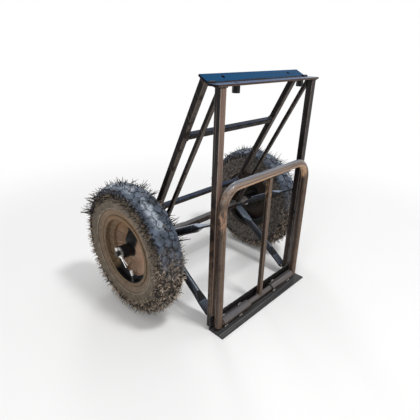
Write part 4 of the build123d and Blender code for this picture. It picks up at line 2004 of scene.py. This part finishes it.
@dataclass
class Wheel:
    """One wheel: its dressed rim and disc, and a tyre with block tread and moulding hairs."""

    side: Side
    turns: int = 120
    carcass_smooth: float = 35.0
    tread_smooth: float = 25.0
    hair_smooth: float = 60.0
    block_face: float = 0.8
    end_face: float = 0.9
    row_count: int = 4
    blocks_per_row: int = 46
    block_sides: int = 6
    block_shapes: int = 6
    block_gap: float = 0.0027
    point_gap: float = 0.58
    block_foot: float = 0.003
    block_top: float = 0.0003
    block_uneven: float = 0.15
    block_bevel: float = 0.0012
    block_crown: float = 0.0007
    block_sunk: float = 0.0010
    block_lifts: Span = Span(-0.0006, 0.0004)
    block_sizes: Span = Span(0.92, 1.06)
    block_stray: float = 0.0011
    row_shift: float = 0.5
    pitch_stray: float = 0.05
    tilt_stray: float = 0.03
    roll_stray: float = 0.12
    lug_count: int = 80
    lug_size: Point = (0.018, 0.0105, 0.005)
    lug_taper: Point = (0.92, 0.82, 1.0)
    lug_bevel: float = 0.0012
    lug_crown: float = 0.0006
    lug_shares: tuple[float, float] = (0.86, 0.90)
    lug_sunk: float = 0.0002
    hair_bend: float = 0.6
    hair_knee: float = 0.45
    hair_sides: int = 4
    hair_tip: float = 0.35
    hair_knee_width: float = 2.0
    hair_end_width: float = 0.5
    hair_radii: Span = Span(0.00070, 0.00110)
    hair_swell: float = 0.012
    hair_clearance: float = 0.001
    hair_zones: tuple[HairZone, ...] = (
        ShoulderHairs(520, Span(0.008, 0.020), 0.003),
        ShoulderHairs(400, Span(0.008, 0.020), 0.003, sign=-1),
        TreadHairs(330, Span(0.008, 0.022), 0.003),
        WallHairs(460, Span(0.006, 0.015), 0.002),
        LowHairs(760, Span(0.007, 0.014), 0.001, sway=0.75),
    )
    boss_x: float = 0.0093
    hub_bead: float = 0.0020
    hub_runs: int = 24
    seed: int = 7
    block_seed_step: int = 10
    weld_seed: int = 41
    center: Vector = field(init=False)
    tyre: TyreSection = field(init=False)

    def __post_init__(self) -> None:
        """Read the wheel's centre and radius from its packed tyre."""
        low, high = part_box(f"{self.side.label}_tyre")
        self.center = (low + high) / 2
        self.tyre = TyreSection((high.z - low.z) / 2)

    @property
    def body(self) -> Body:
        """Return the body that the wheel's pieces ride on."""
        return Body(f"{self.side.label}_wheel")

    def stand(self) -> Matrix:
        """Return the place of the wheel, with its outer face turned to its own side."""
        turn = 0.0 if self.side is Side.RIGHT else math.pi
        return Matrix.Translation(self.center) @ Matrix.Rotation(turn, 4, "Z")

    @staticmethod
    def spot(turn: float, x: float, radius: float, tilt: float) -> Matrix:
        """Return a place on the tyre by its angle round the axle, its x, its radius and its tilt."""
        outward = Matrix.Rotation(turn, 4, "X") @ Matrix.Translation((x, 0.0, radius))
        return outward @ Matrix.Rotation(tilt, 4, "Y")

    def block(self, shape: int) -> bpy.types.Object:
        """Return one uneven six-sided tread block, its top near the origin plane and its top edges broken.

        Args:
            shape: Which of the uneven outlines to make.

        Returns:
            The block, open below.
        """
        half_corner = math.pi / self.block_sides
        pitch = FULL_TURN * (self.tyre.radius - self.tyre.groove_shade_depth) / self.blocks_per_row
        # Six-sided blocks lie 1.5 of their half widths apart from row to row
        lateral = self.tyre.row_spacing * 2.0 / 3.0 - self.block_gap * self.point_gap
        around = (pitch - self.block_gap) / 2.0 / math.cos(half_corner)
        height = self.tyre.groove_shade_depth + self.block_foot
        Bench.clear()
        bpy.ops.mesh.primitive_cylinder_add(
            vertices=self.block_sides, radius=1.0, depth=1.0, end_fill_type="NGON")
        Bench.edit()
        bpy.ops.transform.rotate(value=half_corner, orient_axis="Z", center_override=ORIGIN)
        bpy.ops.transform.vertex_random(offset=self.block_uneven, uniform=1.0, normal=0.0, seed=shape)
        bpy.ops.transform.resize(value=(lateral, around, height), center_override=ORIGIN)
        bpy.ops.transform.translate(value=(0.0, 0.0, -height / 2 - self.block_top))
        Bench.select_facing(Z_AXIS, self.block_face)
        bpy.ops.mesh.inset(thickness=self.block_bevel, depth=0.0)
        bpy.ops.transform.translate(value=(0.0, 0.0, self.block_crown))
        Bench.select_facing(-Z_AXIS, self.block_face)
        bpy.ops.mesh.delete(type="FACE")
        return Bench.finish("block", self.tread_smooth)

    def block_places(self) -> list[Matrix]:
        """Return the places of the blocks, every other row shifted by half a pitch.

        Returns:
            One matrix for each block.
        """
        draw = random.Random(self.seed + self.block_seed_step * self.side.value)
        found = []
        middle_row = (self.row_count - 1) / 2
        for row in range(self.row_count):
            for index in range(self.blocks_per_row):
                along = (row - middle_row) * self.tyre.row_spacing + draw.gauss(0.0, self.block_stray)
                lift = -self.block_sunk + draw.uniform(*self.block_lifts)
                x, radius, tilt = self.tyre.crown_point(along, lift)
                step = index + self.row_shift * (row % 2) + draw.gauss(0.0, self.pitch_stray)
                turn = FULL_TURN * step / self.blocks_per_row
                size = (draw.uniform(*self.block_sizes), draw.uniform(*self.block_sizes), 1.0, 1.0)
                spot = self.spot(turn, x, radius, tilt + draw.gauss(0.0, self.tilt_stray))
                roll = Matrix.Rotation(draw.gauss(0.0, self.roll_stray), 4, "Z")
                found.append(spot @ roll @ Matrix.Diagonal(size))
        return found

    def lug(self) -> bpy.types.Object:
        """Return one shoulder lug with tapered sides and a raised face.

        Returns:
            The lug.
        """
        Bench.clear()
        bpy.ops.mesh.primitive_cube_add(size=1.0)
        Bench.edit()
        bpy.ops.transform.resize(value=self.lug_size)
        bpy.ops.transform.translate(value=(0.0, 0.0, -self.lug_size[2] / 2))
        Bench.select_facing(Z_AXIS, self.end_face)
        bpy.ops.transform.resize(value=self.lug_taper)
        bpy.ops.mesh.inset(thickness=self.lug_bevel, depth=0.0)
        bpy.ops.transform.translate(value=(0.0, 0.0, self.lug_crown))
        return Bench.finish("lug", self.tread_smooth)

    def lug_places(self) -> list[Matrix]:
        """Return the places of the lugs on both shoulders, in and out by turns.

        Returns:
            One matrix for each lug.
        """
        found = []
        for sign in (-1, 1):
            for index in range(self.lug_count):
                x, radius, tilt = self.tyre.wall_point(self.lug_shares[index % 2], -self.lug_sunk)
                found.append(self.spot(FULL_TURN * index / self.lug_count, sign * x, radius, sign * tilt))
        return found

    def hair(self) -> bpy.types.Object:
        """Return one moulding hair of unit length and radius, bent at its knee.

        Returns:
            The hair, open below.
        """
        Bench.clear()
        bpy.ops.mesh.primitive_cone_add(
            vertices=self.hair_sides, radius1=1.0, radius2=self.hair_tip, depth=1.0)
        Bench.edit()
        bpy.ops.transform.translate(value=(0.0, 0.0, 0.5))
        Bench.select_facing(Z_AXIS, self.end_face)
        bpy.ops.transform.translate(value=(0.0, 0.0, -self.hair_knee))
        bpy.ops.transform.resize(value=(self.hair_knee_width, self.hair_knee_width, 1.0))
        bend = {"value": (self.hair_bend, 0.0, self.hair_knee)}
        bpy.ops.mesh.extrude_region_move(TRANSFORM_OT_translate=bend)
        bpy.ops.transform.resize(value=(self.hair_end_width, self.hair_end_width, 1.0))
        Bench.select_facing(-Z_AXIS, self.end_face)
        bpy.ops.mesh.delete(type="FACE")
        return Bench.finish("hair", self.hair_smooth)

    def hair_places(self) -> list[Matrix]:
        """Return the places of the hairs, leaving out those that would reach into the floor.

        Returns:
            One matrix for each hair.
        """
        draw = random.Random(self.seed + self.side.value)
        stand = self.stand()
        found = []
        for zone in self.hair_zones:
            for _ in range(zone.count):
                turn = zone.turn(draw, draw.uniform(0.0, FULL_TURN))
                x, radius, tilt = zone.root(self.tyre, draw)
                length = zone.length(draw, turn)
                lean = Matrix.Rotation(draw.gauss(0.0, zone.sway), 4, "X")
                lean = lean @ Matrix.Rotation(draw.gauss(0.0, zone.sway), 4, "Y")
                roll = Matrix.Rotation(draw.uniform(0.0, FULL_TURN), 4, "Z")
                thick = draw.uniform(*self.hair_radii) + self.hair_swell * length
                size = Matrix.Diagonal((thick, thick, length, 1.0))
                place = self.spot(turn, zone.sign * x, radius, zone.sign * tilt) @ lean @ roll @ size
                tip = stand @ place @ Vector((self.hair_bend, 0.0, 1.0))
                if tip.z > self.hair_clearance:
                    found.append(place)
        return found

    def model(self) -> None:
        """Model the tread tyre and its hairs, dress them and let them ride on the wheel's body."""
        label = self.side.label
        rubber = RubberFinish(f"{label}_tyre_rubber", tuple(self.center), float(self.side.value))
        parts = [Bench.lathe("carcass", self.tyre.outline(), self.turns, self.carcass_smooth),
                 Bench.copies("lugs", self.lug(), self.lug_places())]
        places = self.block_places()
        for shape in range(self.block_shapes):
            parts.append(Bench.copies("blocks", self.block(shape), places[shape::self.block_shapes]))
        tyre = Bench.join(f"{label}_tread_tyre", parts)
        hairs = Bench.copies(f"{label}_tyre_hairs", self.hair(), self.hair_places())
        for piece, finish in ((tyre, rubber), (hairs, HAIR_RUBBER)):
            piece.data.transform(self.stand())
            Bench.dress(piece, finish.material())
            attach(piece, self.body.value)
            LOG.info("%s: %d faces", piece.name, len(piece.data.polygons))
        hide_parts(f"{label}_tyre")

    def weld_hub(self) -> None:
        """Weld the hub to the boss of the disc."""
        low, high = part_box(f"{self.side.label}_hub")
        boss_x = self.center.x + self.side.value * self.boss_x
        center = Vector((boss_x, self.center.y, self.center.z))
        seams = ring_seams(center, (high.z - low.z) / 2, self.hub_bead, self.hub_runs)
        weld = WeldRun(f"{self.side.label}_hub_weld", self.body, seams, self.weld_seed, Slot.WHEEL)
        weld.build(HUB_ENAMEL.material())

    def build(self, nodes: Nodes) -> None:
        """Model the tyre, dress the wheel's nodes and weld its hub.

        Args:
            nodes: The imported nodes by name.
        """
        self.model()
        label = self.side.label
        center, outward = tuple(self.center), float(self.side.value)
        finishes = {
            "disc": DiscFinish(f"{label}_disc_dusty", center, outward),
            "rim": RimFinish(f"{label}_rim_gloss", center, outward),
            "valve": ValveFinish(f"{label}_valve", center),
            "hub": HUB_ENAMEL,
            "outer_bearing": BEARING_STEEL,
            "inner_bearing": BEARING_STEEL,
        }
        for part, finish in finishes.items():
            Bench.dress(nodes[f"{label}_{part}"], finish.material())
        self.weld_hub()


@dataclass(frozen=True)
class Lamp:
    """A soft box that looks at the middle of the truck."""

    name: str
    place: Point
    size: float
    power: float
    tint: Rgb = WHITE
    target: Point = (0.0, 0.0, 0.30)

    def build(self) -> None:
        """Add the lamp to the scene."""
        light = bpy.data.lights.new(self.name, "AREA")
        light.shape = "SQUARE"
        light.size = self.size
        light.energy = self.power
        light.color = self.tint
        lamp = bpy.data.objects.new(self.name, light)
        bpy.context.collection.objects.link(lamp)
        lamp.location = self.place
        aim = Vector(self.target) - Vector(self.place)
        lamp.rotation_euler = aim.to_track_quat("-Z", "Y").to_euler()


@dataclass
class Studio:
    """A pale floor, a plain pale surround and soft lamps."""

    floor_size: float = 60.0
    floor_drop: float = 0.0003
    floor_colour: Rgb = (0.86, 0.86, 0.86)
    floor_shade: float = 0.99
    floor_rough: float = 0.9
    floor_level: float = 0.1
    paper: Grit = Grit(3.0, 2.0)
    fade: Step = Step(0.7, 1.7)
    fill: float = 0.62
    backdrop: float = 1.0
    lamps: tuple[Lamp, ...] = (
        Lamp("key_soft_box", (0.1, -1.2, 2.8), 0.4, 40.0),
        Lamp("side_soft_box", (-2.6, -1.0, 1.5), 0.6, 12.0),
        Lamp("back_soft_box", (1.6, 2.6, 2.6), 0.8, 20.0),
    )

    def floor(self) -> None:
        """Lay the floor just under the truck."""
        Bench.clear()
        bpy.ops.mesh.primitive_plane_add(size=self.floor_size, location=(0.0, 0.0, -self.floor_drop))
        floor = Bench.finish("studio_floor")
        shader = Shader("studio_floor_paper")
        paper = shader.noise(shader.place(), self.paper)
        shade = tuple(self.floor_shade * value for value in self.floor_colour)
        shader.colour(shader.ramp(paper, Step(*NOISE_RANGE), shade, self.floor_colour))
        shader.set(Roughness=self.floor_rough, Specular_IOR_Level=self.floor_level)
        self.fade_out(shader)
        Bench.dress(floor, shader.material)

    def fade_out(self, shader: Shader) -> None:
        """Let the floor pass into the plain white surround away from the truck.

        Args:
            shader: The floor's shader.
        """
        across, depth, _ = shader.axes(shader.place())
        share = shader.times(shader.shown(), shader.band(shader.reach(across, depth), self.fade))
        white = shader.node("ShaderNodeEmission")
        mixed = shader.either(share, shader.surface.outputs["BSDF"], white.outputs["Emission"])
        shader.link(mixed, shader.output.inputs["Surface"])

    def surround(self) -> None:
        """Light the scene evenly and show plain white behind it and in its reflections."""
        world = bpy.data.worlds.new("studio_surround")
        bpy.context.scene.world = world
        world.use_nodes = True
        sheet = NodeSheet(world.node_tree)
        output = sheet.node("ShaderNodeOutputWorld")
        lights = []
        for strength in (self.fill, self.backdrop):
            light = sheet.node("ShaderNodeBackground")
            light.inputs["Color"].default_value = (*WHITE, 1.0)
            light.inputs["Strength"].default_value = strength
            lights.append(light.outputs["Background"])
        sheet.link(sheet.either(sheet.shown(), *lights), output.inputs["Surface"])

    def build(self) -> None:
        """Set up floor, surround, lamps and the view transform."""
        bpy.context.scene.view_settings.view_transform = "Standard"
        self.floor()
        self.surround()
        for lamp in self.lamps:
            lamp.build()
        LOG.info("studio: %d lamps", len(self.lamps))


@dataclass
class PhotoCamera:
    """The camera at the photograph's viewing angle, for a square picture."""

    place: Point = (-0.8253, -0.7570, 0.7658)
    right: Point = (0.6930, -0.7203, 0.0306)
    down: Point = (-0.2815, -0.3094, -0.9083)
    forward: Point = (0.6637, 0.6208, -0.4172)
    lens: float = 31.2
    sensor: float = 36.0
    reach: Span = Span(0.01, 200.0)

    def build(self) -> None:
        """Add the camera and make it the scene's own."""
        data = bpy.data.cameras.new("photo_camera")
        data.lens = self.lens
        data.sensor_width = self.sensor
        data.sensor_fit = "HORIZONTAL"
        data.clip_start, data.clip_end = self.reach
        camera = bpy.data.objects.new("photo_camera", data)
        bpy.context.collection.objects.link(camera)
        columns = (Vector(self.right), -Vector(self.down), -Vector(self.forward))
        turn = Matrix(columns).transposed().to_4x4()
        camera.matrix_world = Matrix.Translation(self.place) @ turn
        bpy.context.scene.camera = camera
        LOG.info("camera at %s", self.place)


def main() -> None:
    """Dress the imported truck, add its pieces and set up the studio."""
    logging.basicConfig(level=logging.INFO, format="%(name)s: %(message)s")
    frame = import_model()
    nodes = frame["nodes"]
    LowerFrame().build(nodes)
    UpperFrame().build(nodes)
    Nose().build(nodes)
    for side in Side:
        Wheel(side).build(nodes)
    Studio().build()
    PhotoCamera().build()


if __name__ == "__main__":
    main()
